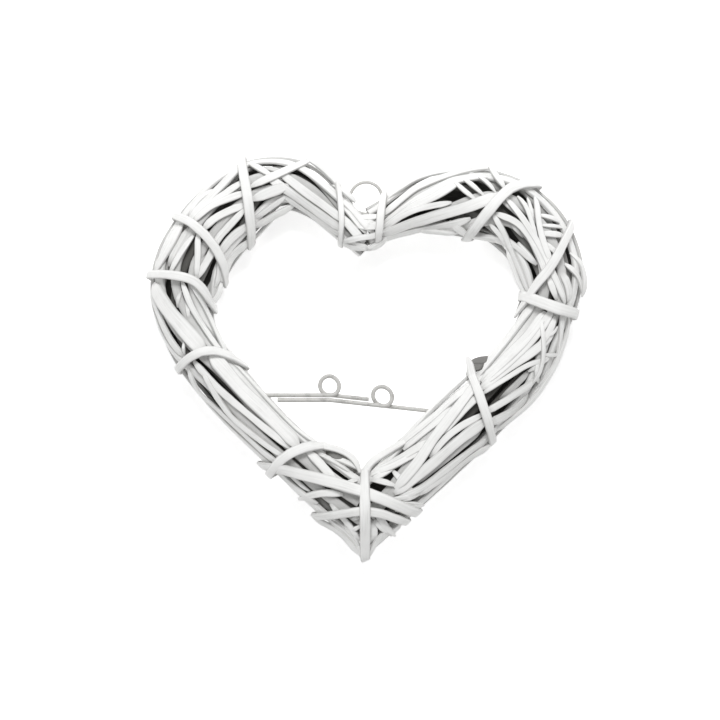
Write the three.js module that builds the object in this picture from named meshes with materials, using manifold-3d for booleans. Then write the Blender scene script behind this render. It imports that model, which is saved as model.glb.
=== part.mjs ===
// A hand-made wicker heart, painted white. Two bundles of long split-willow rods, one for each side of
// the heart, run from the cleft over their lobe to the point. Each bundle is a hollow cage of two layers
// of rods, held by flat willow bindings. A wire eye for hanging sits in the cleft, and two wires with an
// eyelet each lie side by side across the lower half.
//
// Millimetres, +Z up. The heart lies on its back with its face up and its point towards -Y. The origin
// is under the middle of its outline, on the surface that it lies on.
import * as THREE from 'three';
import { mergeVertices } from 'three/addons/utils/BufferGeometryUtils.js';
import Module from 'manifold-3d';

const wasm = await Module();
wasm.setup();

// The heart's main sizes. The tables are drawn for a heart of the drawn sizes, and every place in them
// is scaled from there.
const heartWidth = 250;
const heartLength = 230;
const bundleDepth = 31; // through a bundle at its thickest, without the bindings
const drawn = { width: 250, length: 230, depth: 31 };
const widen = heartWidth / drawn.width;
const lengthen = heartLength / drawn.length;
const thicken = bundleDepth / drawn.depth;

// Rods and bindings are split willow: flat inside, crowned outside.
const rodThickness = 2.4;
const rodEdgeThickness = 1.2;
const bindingThickness = 2.0;
const bindingEdgeThickness = 1.1;
const clearance = 0.35; // between pieces that touch
const layerGap = 0.75; // between the two layers of rods, which cross
const bendReach = 13; // how far to each side of a station a bundle's bend is spread
const rodSteps = 20; // along a whole bundle
const bindingWear = 0.05; // off the undersides of the bindings, which gives them flats to lie on
const restLevel = -(bundleDepth / 2 + clearance + bindingThickness - bindingWear);
const beyond = 400; // larger than the heart, for the blocks that cut it

// The wires: a closed ring for hanging, and two wires across the opening that each have an eyelet.
const wireSides = 6;
const ring = { thickness: 1.9, radius: 9.1, x: 0.6, y: 91.5, steps: 20 };
const bar = {
  thickness: 2.4,
  eyeRadius: 5.8, // to the middle of the wire
  eyeSteps: 16,
  eyeRise: 1.5, // each wire steps from this far above the middle to this far below it in its eyelet
  y: -26, // where the two wires cross the heart's middle line
  slope: -0.1,
};
// Along the bar from the heart's middle line: where a wire starts in its bundle, the middle of its
// eyelet and its free end, and how far it lies to the side.
const barWires = {
  crossbar_wire_left: { start: -64, eye: -20.3, end: 2.2, aside: 2.6, rise: 1 },
  crossbar_wire_right: { start: 48, eye: 10, end: -50, aside: -0.2, rise: -1 },
};

// Each bundle: its middle line with its half-width, from the cleft to the point of the heart.
const bundles = {
  left: {
    outward: -1,
    stations: [
      { at: 'past_cleft', x: 9, y: 60.5, half: 10, deep: 12.5 },
      { at: 'cleft', x: -14, y: 79.5, half: 11, deep: 13 },
      { at: 'slope', x: -32, y: 95.5, half: 12, deep: 14 },
      { at: 'crest', x: -50, y: 100.5, half: 15.5, deep: 15.5 },
      { at: 'lobe', x: -70.5, y: 91, half: 22, deep: 15.5 },
      { at: 'shoulder', x: -93.5, y: 66, half: 21.5, deep: 15.5 },
      { at: 'side', x: -103.5, y: 44, half: 22, deep: 15.5 },
      { at: 'waist', x: -105, y: 27.5, half: 16.5, deep: 15.5 },
      { at: 'hip', x: -99.5, y: 10, half: 15.5, deep: 15.5 },
      { at: 'flank', x: -82.5, y: -13, half: 15.5, deep: 15.5 },
      { at: 'shin', x: -62.5, y: -36, half: 15, deep: 15 },
      { at: 'foot', x: -43.5, y: -54.5, half: 14.8, deep: 14 },
      { at: 'ankle', x: -23, y: -72.5, half: 17, deep: 13.5 },
      { at: 'point', x: 0, y: -89, half: 19, deep: 13.6 },
      { at: 'past_point', x: 20, y: -103, half: 19, deep: 13.6 },
    ],
  },
  right: {
    outward: 1,
    stations: [
      { at: 'past_cleft', x: -10, y: 70, half: 10, deep: 12.5 },
      { at: 'cleft', x: 11, y: 79, half: 11, deep: 13 },
      { at: 'slope', x: 31.5, y: 88, half: 16, deep: 14.5 },
      { at: 'crest', x: 52.5, y: 90, half: 20.5, deep: 15.5 },
      { at: 'lobe', x: 73.5, y: 88, half: 21.5, deep: 15.5 },
      { at: 'shoulder', x: 93, y: 77, half: 21, deep: 15.5 },
      { at: 'side', x: 104, y: 59, half: 20.5, deep: 15.5 },
      { at: 'hip', x: 107.5, y: 42, half: 19.5, deep: 15.5 },
      { at: 'waist', x: 106, y: 29, half: 14, deep: 15.5 },
      { at: 'thigh', x: 99, y: 13, half: 15.5, deep: 15.5 },
      { at: 'knee', x: 86, y: -7.5, half: 17.5, deep: 15.5 },
      { at: 'flank', x: 69.5, y: -24.5, half: 18.5, deep: 15.5 },
      { at: 'shin', x: 45, y: -47.5, half: 19.5, deep: 14.5 },
      { at: 'foot', x: 23, y: -68.5, half: 19, deep: 13.7 },
      { at: 'point', x: 0, y: -89, half: 19, deep: 13.6 },
      { at: 'past_point', x: -20, y: -107, half: 19, deep: 13.6 },
    ],
  },
};

// Where each rod lies as it passes a station, in degrees round its bundle: 0 faces up, 90 is the
// outside of the heart, -90 its inside, 180 its back. The rods of a layer never change places; those
// of the lower layer cross under those of the upper one. The two widths are at the rod's ends.
const passes = {
  left: ['cleft', 'slope', 'crest', 'lobe', 'shoulder', 'side', 'waist', 'hip', 'flank', 'foot', 'point'],
  right: [
    'cleft', 'slope', 'crest', 'lobe', 'shoulder', 'hip', 'waist', 'thigh', 'knee', 'flank', 'shin',
    'foot', 'point',
  ],
};
const rods = {
  left_upper: [
    ['rim', 5.2, 5.5, [135, 140, 150, 145, 150, 145, 120, 98, 80, 60, 55]],
    ['edge', 5.2, 5.5, [66, 82, 100, 110, 102, 102, 90, 66, 24, 12, 18]],
    ['broad', 5.2, 9, [24, 45, 66, 71, 64, 58, 36, 2, -26, -24, -20]],
    ['middle', 5.2, 5.5, [-8, 8, 18, 26, 22, 22, -6, -30, -58, -62, -60]],
    ['narrow', 5.2, 5, [-38, -24, -11, -4, -12, -9, -42, -66, -90, -96, -98]],
    ['inner', 5.5, 5.5, [-80, -55, -34, -48, -54, -60, -88, -108, -128, -136, -138]],
    ['inside', 5.5, 6, [-128, -104, -90, -94, -96, -102, -130, -150, -166, -176, -178]],
    ['back', 5.5, 6, [-176, -160, -148, -150, -154, -160, -186, -206, -222, -236, -236]],
  ],
  left_lower: [
    ['inner', 4.6, 5, [10, 36, 2, -34, -72, -76, -60, -50, -50, -80, -80]],
    ['middle', 4.6, 5, [60, 84, 50, 4, -32, -36, -20, -10, -8, -38, -40]],
    ['cross', 4.6, 5, [110, 130, 100, 48, 4, 8, 25, 36, 52, 8, 0]],
    ['outer', 4.8, 5, [160, 170, 142, 92, 48, 50, 70, 80, 100, 52, 45]],
    ['rim', 4.8, 5.5, [210, 214, 190, 142, 102, 105, 125, 135, 150, 104, 98]],
    ['back', 4.8, 5.5, [262, 260, 240, 200, 162, 162, 180, 190, 204, 166, 162]],
    ['inside', 4.8, 5.5, [314, 316, 294, 262, 226, 220, 240, 250, 258, 226, 224]],
  ],
  right_upper: [
    ['back', 5.5, 6, [100, 130, 142, 155, 148, 146, 145, 140, 145, 150, 152, 155, 158]],
    ['rim', 5.2, 5.5, [52, 80, 92, 110, 100, 98, 96, 92, 112, 118, 120, 124, 128]],
    ['edge', 5.2, 5.5, [6, 30, 44, 62, 56, 54, 52, 50, 80, 88, 92, 96, 100]],
    ['broad', 6, 5, [-62, -44, -14, 22, 20, 18, 14, 14, 50, 62, 66, 70, 74]],
    ['middle', 5.2, 8, [-102, -88, -62, -30, -12, -14, -28, -42, -52, -60, -36, -8, 5]],
    ['inner', 5.2, 6, [-142, -126, -106, -76, -54, -50, -64, -78, -88, -96, -80, -60, -55]],
    ['inside', 5.2, 6, [-182, -164, -146, -122, -102, -98, -108, -118, -128, -134, -124, -112, -106]],
    ['under', 5.5, 6, [-222, -198, -184, -166, -156, -154, -162, -168, -172, -174, -170, -164, -162]],
  ],
  right_lower: [
    ['inner', 4.6, 5, [10, 8, -18, -50, -72, -76, -56, -28, -18, -10, -4, 0, 0]],
    ['middle', 4.6, 5, [60, 62, 36, -4, -30, -32, -10, 14, 20, 26, 32, 40, 42]],
    ['cross', 4.6, 5, [112, 112, 86, 40, 4, 4, 30, 54, 62, 68, 74, 82, 84]],
    ['outer', 4.8, 5, [164, 162, 136, 86, 40, 38, 66, 94, 104, 110, 116, 124, 126]],
    ['rim', 4.8, 5.5, [214, 210, 186, 140, 86, 84, 112, 140, 150, 156, 160, 168, 170]],
    ['back', 4.8, 5.5, [264, 256, 232, 190, 146, 144, 166, 190, 200, 206, 210, 216, 218]],
    ['inside', 4.8, 5.5, [316, 306, 282, 246, 214, 212, 232, 258, 266, 272, 278, 286, 288]],
  ],
};

// A binding is a flat hoop, drawn tight round what it holds. Seen from above it runs from one point to
// the other across its bundle, and its plane leans along the bundle by so many degrees. Where bindings
// cross, the later one goes over the earlier ones that it names.
const bindings = [
  { place: 'cleft_left', side: 'left', width: 5, from: [-16, 94], to: [-12.5, 65.5], lean: 0, over: [] },
  {
    place: 'cleft_right',
    side: 'right',
    width: 5.5,
    from: [11, 92],
    to: [6.5, 65.5],
    lean: 0,
    over: ['hanging_ring'],
  },
  { place: 'lobe_left', side: 'left', width: 6, from: [-71.5, 115], to: [-65, 62], lean: -9, over: [] },
  { place: 'shoulder_left', side: 'left', width: 6, from: [-108, 80], to: [-80, 39], lean: -28, over: [] },
  { place: 'side_left', side: 'left', width: 6, from: [-125, 46.5], to: [-87.5, 30], lean: -24, over: [] },
  { place: 'flank_left', side: 'left', width: 6, from: [-107, -4], to: [-60, -12.5], lean: -34, over: [] },
  { place: 'foot_left', side: 'left', width: 6.5, from: [-59, -54], to: [-12, -51], lean: -20, over: [] },
  { place: 'lobe_right', side: 'right', width: 6.5, from: [97, 98.5], to: [58, 67.5], lean: 26, over: [] },
  { place: 'side_right', side: 'right', width: 6, from: [120, 78], to: [91, 46], lean: -18, over: [] },
  {
    place: 'waist_right',
    side: 'right',
    width: 6.5,
    from: [118, 26],
    to: [92, 35],
    lean: 0,
    over: ['side_right'],
  },
  { place: 'flank_right', side: 'right', width: 6, from: [73.5, -47], to: [60.5, -1], lean: 0, over: [] },
  { place: 'point_upper', width: 7, from: [-50, -67.5], to: [26, -85], lean: 0, over: ['foot_left'] },
  { place: 'point_lower', width: 6, from: [-29, -90.5], to: [22.5, -95], lean: 0, over: [] },
  {
    place: 'point_end',
    width: 6,
    from: [0.6, -59.5],
    to: [0.6, -118],
    lean: 0,
    over: ['foot_left', 'point_upper', 'point_lower'],
  },
];

const upperLayer = 0; // depth of a layer's crown below the bundle's envelope
const lowerLayer = rodThickness + layerGap;
const layerDepth = { upper: upperLayer, lower: lowerLayer };
const middleHeight = 0; // of the bundles, before the heart is set down

// Shaping helpers.

const radians = THREE.MathUtils.degToRad;

function between(knots, s) {
  let i = 1;
  while (i < knots.length - 1 && knots[i].s < s) i += 1;
  const a = knots[i - 1];
  const b = knots[i];
  const t = (s - a.s) / (b.s - a.s);
  return { a, b, t };
}

// Averages a value over a stretch of the bundle, which rounds the corners of a table.
function smooth(read, s) {
  const samples = 6;
  let sum = 0;
  for (let i = -samples; i <= samples; i += 1) sum += read(s + (i / samples) * bendReach);
  return sum / (2 * samples + 1);
}

class Bundle {
  constructor({ outward, stations }) {
    this.outward = outward;
    this.stations = stations.map(({ at, x, y, half, deep }) => ({
      at,
      x: x * widen,
      y: y * lengthen,
      half: half * thicken,
      deep: deep * thicken,
    }));
    let s = 0;
    this.stations.forEach((station, i) => {
      const before = this.stations[Math.max(i - 1, 0)];
      s += Math.hypot(station.x - before.x, station.y - before.y);
      station.s = s;
    });
    this.where = Object.fromEntries(this.stations.map((station) => [station.at, station.s]));
  }

  read(key, s) {
    return smooth((v) => {
      const { a, b, t } = between(this.stations, v);
      return a[key] + (b[key] - a[key]) * t;
    }, s);
  }

  // The middle of the bundle at s, and the level direction out of the heart there.
  frame(s) {
    const step = 0.5;
    const along = new THREE.Vector3(
      this.read('x', s + step) - this.read('x', s - step),
      this.read('y', s + step) - this.read('y', s - step),
      0,
    ).normalize();
    return {
      middle: new THREE.Vector3(this.read('x', s), this.read('y', s), middleHeight),
      out: new THREE.Vector3(along.y, -along.x, 0).multiplyScalar(-this.outward),
      half: this.read('half', s),
      deep: this.read('deep', s),
    };
  }

  // How far the shell that lies so far below the envelope runs for each radian at an angle.
  radius(s, angle, depth) {
    const { half, deep } = this.frame(s);
    return Math.hypot((half - depth) * Math.cos(angle), (deep - depth) * Math.sin(angle));
  }

  // A point on that shell.
  point(s, angle, depth) {
    const { middle, out, half, deep } = this.frame(s);
    return middle
      .clone()
      .addScaledVector(out, (half - depth) * Math.sin(angle))
      .add(new THREE.Vector3(0, 0, (deep - depth) * Math.cos(angle)));
  }
}

// A closed body through a row of sections with equal point counts, capped unless it runs round.
function body(sections, runsRound) {
  const count = sections[0].length;
  const position = sections.flat().flatMap((p) => [p.x, p.y, p.z]);
  const index = [];
  const last = runsRound ? sections.length : sections.length - 1;
  for (let i = 0; i < last; i += 1) {
    const here = i * count;
    const next = ((i + 1) % sections.length) * count;
    for (let j = 0; j < count; j += 1) {
      const k = (j + 1) % count;
      index.push(here + j, next + j, next + k, here + j, next + k, here + k);
    }
  }
  if (!runsRound) {
    const end = (sections.length - 1) * count;
    for (let j = 1; j < count - 1; j += 1) {
      index.push(0, j, j + 1, end, end + j + 1, end + j);
    }
  }
  const made = new THREE.BufferGeometry();
  made.setAttribute('position', new THREE.Float32BufferAttribute(position, 3));
  made.setIndex(index);
  return made;
}

function solid(geometry) {
  const bare = geometry.clone();
  bare.deleteAttribute('normal');
  bare.deleteAttribute('uv');
  const merged = mergeVertices(bare, 1e-4);
  const vertProperties = new Float32Array(merged.attributes.position.array);
  const make = (triVerts) => new wasm.Manifold(new wasm.Mesh({ numProp: 3, vertProperties, triVerts }));
  const made = make(new Uint32Array(merged.index.array));
  return made.volume() > 0 ? made : make(new Uint32Array(merged.index.array).reverse());
}

function geometryOf(made) {
  const { vertProperties, triVerts } = made.getMesh();
  const geometry = new THREE.BufferGeometry();
  geometry.setAttribute('position', new THREE.BufferAttribute(vertProperties, 3));
  geometry.setIndex(new THREE.BufferAttribute(triVerts, 1));
  const flat = geometry.toNonIndexed();
  flat.computeVertexNormals();
  return flat;
}

function block(width, depth, height, matrix) {
  return solid(new THREE.BoxGeometry(width, depth, height).applyMatrix4(matrix));
}

// A cut can leave chips: the piece is the largest of what is left.
function largest(made) {
  return made.decompose().sort((a, b) => b.volume() - a.volume())[0];
}

// The rods.

const shapes = Object.fromEntries(Object.entries(bundles).map(([name, data]) => [name, new Bundle(data)]));

// All the rods of a layer, each as wide as its neighbours leave room for.
function makeLayer(side, layer, rows) {
  const bundle = shapes[side];
  const start = bundle.where.past_cleft;
  const end = bundle.where.past_point;
  const crown = layerDepth[layer];
  const floor = crown + rodThickness;
  const edge = floor - rodEdgeThickness;
  const knots = rows.map((row) => (
    passes[side].map((at, i) => ({ s: bundle.where[at], angle: row.angles[i] }))
  ));
  const angleAt = (knot, s) => smooth((v) => {
    const { a, b, t } = between(knot, v);
    return a.angle + (b.angle - a.angle) * THREE.MathUtils.clamp(t, 0, 1);
  }, s);
  const sections = rows.map(() => []);
  for (let i = 0; i <= rodSteps; i += 1) {
    const s = start + ((end - start) * i) / rodSteps;
    const angles = knots.map((knot) => radians(angleAt(knot, s)));
    rows.forEach((row, k) => {
      const angle = angles[k];
      const radius = bundle.radius(s, angle, floor);
      const rooms = [angles.at(k - 1), angles[(k + 1) % rows.length]].map((neighbour) => {
        const apart = Math.abs(neighbour - angle);
        return Math.min(apart, 2 * Math.PI - apart) / 2;
      });
      const width = THREE.MathUtils.lerp(row.startWidth, row.endWidth, i / rodSteps);
      const aside = Math.min(width / 2 / radius, Math.min(...rooms) - clearance / 2 / radius);
      const section = [
        bundle.point(s, angle - aside, floor),
        bundle.point(s, angle, floor),
        bundle.point(s, angle + aside, floor),
        bundle.point(s, angle + aside, edge),
        bundle.point(s, angle, crown),
        bundle.point(s, angle - aside, edge),
      ];
      // Nothing lies under the lower rods, so their floor needs no middle.
      if (layer === 'lower') section.splice(1, 1);
      sections[k].push(section);
    });
  }
  // The two bundles meet on the heart's middle line, at the cleft and at the point.
  const aside = bundle.outward * (beyond / 2 + clearance / 2);
  const half = block(beyond, beyond, beyond, new THREE.Matrix4().makeTranslation(aside, 0, 0));
  return sections.map((row) => largest(solid(body(row, false)).intersect(half)));
}

const pieces = [];
Object.entries(rods).forEach(([group, table]) => {
  const [side, layer] = group.split('_');
  const rows = table.map(([place, startWidth, endWidth, angles]) => (
    { place, startWidth, endWidth, angles }
  ));
  makeLayer(side, layer, rows).forEach((made, k) => {
    pieces.push({ name: `${group}_rod_${rows[k].place}`, side, rod: true, solid: made });
  });
});

// The wires.

// A wire through a row of points, round or with flat ends, thickened all round by the margin.
function wire(points, thickness, margin, runsRound) {
  const count = points.length;
  const up = new THREE.Vector3(0, 0, 1);
  const sections = points.map((p, i) => {
    const before = runsRound ? points[(i + count - 1) % count] : points[Math.max(i - 1, 0)];
    const after = runsRound ? points[(i + 1) % count] : points[Math.min(i + 1, count - 1)];
    const along = after.clone().sub(before).normalize();
    const aside = new THREE.Vector3().crossVectors(up, along).normalize();
    const rise = new THREE.Vector3().crossVectors(along, aside);
    const middle = p.clone();
    if (!runsRound && i === 0) middle.addScaledVector(along, -margin);
    if (!runsRound && i === count - 1) middle.addScaledVector(along, margin);
    return Array.from({ length: wireSides }, (_, k) => {
      const turn = (2 * Math.PI * k) / wireSides;
      return middle
        .clone()
        .addScaledVector(aside, (thickness / 2 + margin) * Math.cos(turn))
        .addScaledVector(rise, (thickness / 2 + margin) * Math.sin(turn));
    });
  });
  return solid(body(sections, runsRound));
}

function circle(x, y, radius, steps, height) {
  return Array.from({ length: steps }, (_, k) => {
    const turn = (2 * Math.PI * k) / steps;
    return new THREE.Vector3(x + radius * Math.cos(turn), y + radius * Math.sin(turn), height);
  });
}

function barWirePath({ start, eye, end, aside, rise }) {
  const facing = Math.sign(end - start);
  const eyeAt = eye * widen;
  const { eyeRadius, eyeSteps, eyeRise } = bar;
  const points = [new THREE.Vector3(start * widen, aside, rise * eyeRise)];
  for (let i = 0; i <= eyeSteps; i += 1) {
    const turn = (2 * Math.PI * i) / eyeSteps;
    points.push(new THREE.Vector3(
      eyeAt + facing * eyeRadius * Math.sin(turn),
      aside + eyeRadius * (1 - Math.cos(turn)),
      rise * eyeRise * (1 - (2 * i) / eyeSteps),
    ));
  }
  points.push(new THREE.Vector3(end * widen, aside, -rise * eyeRise));
  const turned = new THREE.Matrix4().makeRotationZ(Math.atan(bar.slope));
  const lie = turned.setPosition(0, bar.y * lengthen, middleHeight);
  return points.map((p) => p.applyMatrix4(lie));
}

const wirePaths = [
  { name: 'hanging_ring', thickness: ring.thickness, runsRound: true },
  ...Object.keys(barWires).map((name) => ({ name, thickness: bar.thickness, runsRound: false })),
];
wirePaths.forEach(({ name, thickness, runsRound }) => {
  const points = runsRound
    ? circle(ring.x * widen, ring.y * lengthen, ring.radius, ring.steps, middleHeight)
    : barWirePath(barWires[name]);
  // The rods give way to the wire.
  const groove = wire(points, thickness, clearance, runsRound);
  pieces.filter((piece) => piece.rod).forEach((piece) => {
    if (piece.solid.intersect(groove).volume() > 0) piece.solid = largest(piece.solid.subtract(groove));
  });
  pieces.push({ name, place: name, solid: wire(points, thickness, 0, runsRound) });
});

// The bindings.

function hull(points) {
  const sorted = [...points].sort((p, q) => p.x - q.x || p.y - q.y);
  const cross = (o, a, b) => (a.x - o.x) * (b.y - o.y) - (a.y - o.y) * (b.x - o.x);
  const half = (row) => {
    const out = [];
    row.forEach((p) => {
      while (out.length > 1 && cross(out.at(-2), out.at(-1), p) <= 1e-6) out.pop();
      out.push(p);
    });
    out.pop();
    return out;
  };
  return [...half(sorted), ...half(sorted.reverse())];
}

// Leaves out corners of an outline that stand out by less than the slack.
function thinned(points, slack) {
  const kept = [...points];
  const standsOut = (p, i) => {
    const before = kept.at(i - 1);
    const chord = kept[(i + 1) % kept.length].clone().sub(before);
    return Math.abs(chord.cross(p.clone().sub(before))) / chord.length();
  };
  while (kept.length > 4) {
    const heights = kept.map(standsOut);
    const least = Math.min(...heights);
    if (least > slack) break;
    kept.splice(heights.indexOf(least), 1);
  }
  return kept;
}

// Moves each corner of a convex outline out so that its sides move by the distance.
function grown(points, distance) {
  return points.map((p, i) => {
    const before = points[(i + points.length - 1) % points.length];
    const after = points[(i + 1) % points.length];
    const n1 = new THREE.Vector2(p.y - before.y, before.x - p.x).normalize();
    const n2 = new THREE.Vector2(after.y - p.y, p.x - after.x).normalize();
    const mitre = n1.clone().add(n2);
    return p.clone().addScaledVector(mitre, distance / (1 + n1.dot(n2)));
  });
}

// A flat hoop round the solids that cross its plane within its reach.
function hoop(held, width, from, to, leanDegrees) {
  const start = new THREE.Vector3(from[0] * widen, from[1] * lengthen, middleHeight);
  const end = new THREE.Vector3(to[0] * widen, to[1] * lengthen, middleHeight);
  const middle = start.clone().add(end).multiplyScalar(0.5);
  const across = end.clone().sub(start).normalize();
  const along = new THREE.Vector3(-across.y, across.x, 0);
  const up = new THREE.Vector3(0, 0, 1);
  const rise = up.clone().applyAxisAngle(across, radians(leanDegrees));
  along.applyAxisAngle(across, radians(leanDegrees));
  const plane = new THREE.Matrix4().makeBasis(across, rise, along).setPosition(middle);
  const flat = plane.clone().invert();
  const slab = block(start.distanceTo(end) + bundleDepth, bundleDepth * 2, width, plane);
  const points = [];
  held.forEach((piece) => {
    const { vertProperties } = piece.intersect(slab).getMesh();
    for (let i = 0; i < vertProperties.length; i += 3) {
      const p = new THREE.Vector3().fromArray(vertProperties, i).applyMatrix4(flat);
      points.push(new THREE.Vector2(p.x, p.y));
    }
  });
  const tight = thinned(hull(points), clearance / 4);
  const loops = [
    [grown(tight, clearance), -width / 2],
    [grown(tight, clearance), width / 2],
    [grown(tight, clearance + bindingEdgeThickness), width / 2],
    [grown(tight, clearance + bindingThickness), 0],
    [grown(tight, clearance + bindingEdgeThickness), -width / 2],
  ];
  const sections = tight.map((_, i) => loops.map(([loop, aside]) => (
    new THREE.Vector3(loop[i].x, loop[i].y, aside).applyMatrix4(plane)
  )));
  return solid(body(sections, true));
}

bindings.forEach(({ place, side, width, from, to, lean, over }) => {
  const held = pieces.filter((piece) => (
    over.includes(piece.place) || (piece.rod && (!side || piece.side === side))
  ));
  pieces.push({
    name: `${place}_binding`,
    place,
    solid: hoop(held.map((piece) => piece.solid), width, from, to, lean),
  });
});

// The finished heart.

const paintedWillow = new THREE.MeshStandardMaterial({ color: 0xf2f1ee, roughness: 0.6, metalness: 0 });
const paintedWire = new THREE.MeshStandardMaterial({ color: 0xe6e6e4, roughness: 0.4, metalness: 0 });

const lifted = new THREE.Matrix4().makeTranslation(0, 0, restLevel + beyond / 2);
const aboveRest = block(beyond, beyond, beyond, lifted);

const heart = new THREE.Group();
heart.name = 'wicker_heart';
pieces.forEach(({ name, rod, solid: made }) => {
  const isWire = name in barWires || name === 'hanging_ring';
  const finished = rod || isWire ? made : largest(made.intersect(aboveRest));
  const mesh = new THREE.Mesh(geometryOf(finished), isWire ? paintedWire : paintedWillow);
  mesh.name = name;
  heart.add(mesh);
});

// Sets the heart down, with the origin under the middle of its outline.
const box = new THREE.Box3().setFromObject(heart);
const set = new THREE.Vector3(-(box.min.x + box.max.x) / 2, -(box.min.y + box.max.y) / 2, -box.min.z);
heart.children.forEach((mesh) => mesh.geometry.translate(set.x, set.y, set.z));

export default heart;
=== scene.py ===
"""A hand-made heart of split willow, painted chalky white.

Two hollow bundles of long split-willow rods run from the cleft over their lobe to the point. Flat
bindings of the same willow hold them, short splints are tucked in between, and three painted wires
make the hanging eye and the crossbar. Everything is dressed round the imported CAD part, in its frame.
"""

import logging
import math
import random
from dataclasses import dataclass
from enum import Enum

import bpy
import numpy as np
from mathutils import Matrix, Vector


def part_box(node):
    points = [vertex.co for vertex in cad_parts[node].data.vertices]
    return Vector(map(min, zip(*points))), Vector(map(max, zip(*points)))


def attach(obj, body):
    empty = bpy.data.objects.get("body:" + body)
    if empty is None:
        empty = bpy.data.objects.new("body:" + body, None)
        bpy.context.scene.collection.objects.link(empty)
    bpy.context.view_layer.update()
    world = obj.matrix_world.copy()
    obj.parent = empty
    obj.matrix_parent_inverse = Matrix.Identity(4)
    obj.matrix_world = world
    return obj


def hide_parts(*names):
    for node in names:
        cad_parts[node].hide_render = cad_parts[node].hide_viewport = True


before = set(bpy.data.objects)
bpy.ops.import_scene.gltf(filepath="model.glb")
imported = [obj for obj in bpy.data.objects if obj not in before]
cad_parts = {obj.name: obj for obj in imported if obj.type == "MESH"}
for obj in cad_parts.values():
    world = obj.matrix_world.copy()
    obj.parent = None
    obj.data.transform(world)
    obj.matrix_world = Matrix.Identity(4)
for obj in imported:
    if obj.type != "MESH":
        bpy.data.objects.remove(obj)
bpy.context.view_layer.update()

LOG = logging.getLogger("wicker_heart")
MM = 0.001
UP = Vector((0, 0, 1))
RING_MIDDLE = (0.6, 91.5)  # where the hanging ring lies in the tables' millimetres
BEND_REACH = 13.0  # how far to each side of a station a bundle's bend is spread
BEND_SAMPLES = 6
RUN_ON = 12.0  # how far a bundle is known past its last stations
PAST_MIDDLE = 1.5  # how far a bundle runs past the heart's middle line
ROD_THICKNESS = 2.4
LAYER_DEPTH = {"upper": 0.0, "lower": 3.15}
PAINTED_SHADE_SHARES = {"painted_shade_splints": 0.62}  # share of the outwardness kept, which gives these splints more painted shade
SEED = 7  # of the hand-made unevenness
GRAIN_DOWN = 0.35  # how much of a strip's height its grain's map takes up
GRAIN_SHIFT = 0.037  # metres from one strip's grain to the next one's


class Section(Enum):
    """The cross-sections that the straight stock is drawn to."""

    SPLIT = "split"
    ROUND = "round"


class Side(Enum):
    """The two bundles of the heart, by where they lie as it faces up."""

    LEFT = "left"
    RIGHT = "right"


# The bundles' middle lines, in millimetres from the middle of the heart: x, y, half-width, half-depth.
STATIONS: dict[Side, dict[str, tuple[float, float, float, float]]] = {
    Side.LEFT: {
        "past_cleft": (9, 60.5, 10, 12.5),
        "cleft": (-14, 79.5, 11, 13),
        "slope": (-32, 97.5, 14, 14),
        "crest": (-50, 101.5, 16, 15.5),
        "lobe": (-70.5, 91, 22, 15.5),
        "shoulder": (-93.5, 66, 21.5, 15.5),
        "side": (-103.5, 44, 22, 15.5),
        "waist": (-105, 27.5, 16.5, 15.5),
        "hip": (-99.5, 10, 15.5, 15.5),
        "flank": (-82.5, -13, 15.5, 15.5),
        "shin": (-62.5, -36, 15, 15),
        "foot": (-43.5, -54.5, 14.8, 14),
        "ankle": (-23, -72.5, 17, 13.5),
        "point": (0, -89, 19, 13.6),
        "past_point": (20, -103, 19, 13.6),
    },
    Side.RIGHT: {
        "past_cleft": (-10, 70, 10, 12.5),
        "cleft": (11, 79, 11, 13),
        "slope": (31.5, 88, 16, 14.5),
        "crest": (52.5, 90, 20.5, 15.5),
        "lobe": (73.5, 88, 21.5, 15.5),
        "shoulder": (93, 77, 21, 15.5),
        "side": (104, 59, 20.5, 15.5),
        "hip": (107.5, 42, 19.5, 15.5),
        "waist": (106, 29, 14, 15.5),
        "thigh": (99, 13, 15.5, 15.5),
        "knee": (86, -7.5, 17.5, 15.5),
        "flank": (69.5, -24.5, 18.5, 15.5),
        "shin": (45, -47.5, 19.5, 14.5),
        "foot": (23, -68.5, 19, 13.7),
        "point": (0, -89, 19, 13.6),
        "past_point": (-20, -107, 19, 13.6),
    },
}

# The stations at which the rods' places are noted.
PASSES: dict[Side, list[str]] = {
    Side.LEFT: [
        "cleft", "slope", "crest", "lobe", "shoulder", "side", "waist", "hip", "flank", "foot", "point",
    ],
    Side.RIGHT: [
        "cleft", "slope", "crest", "lobe", "shoulder", "hip", "waist", "thigh", "knee", "flank", "shin",
        "foot", "point",
    ],
}

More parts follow.
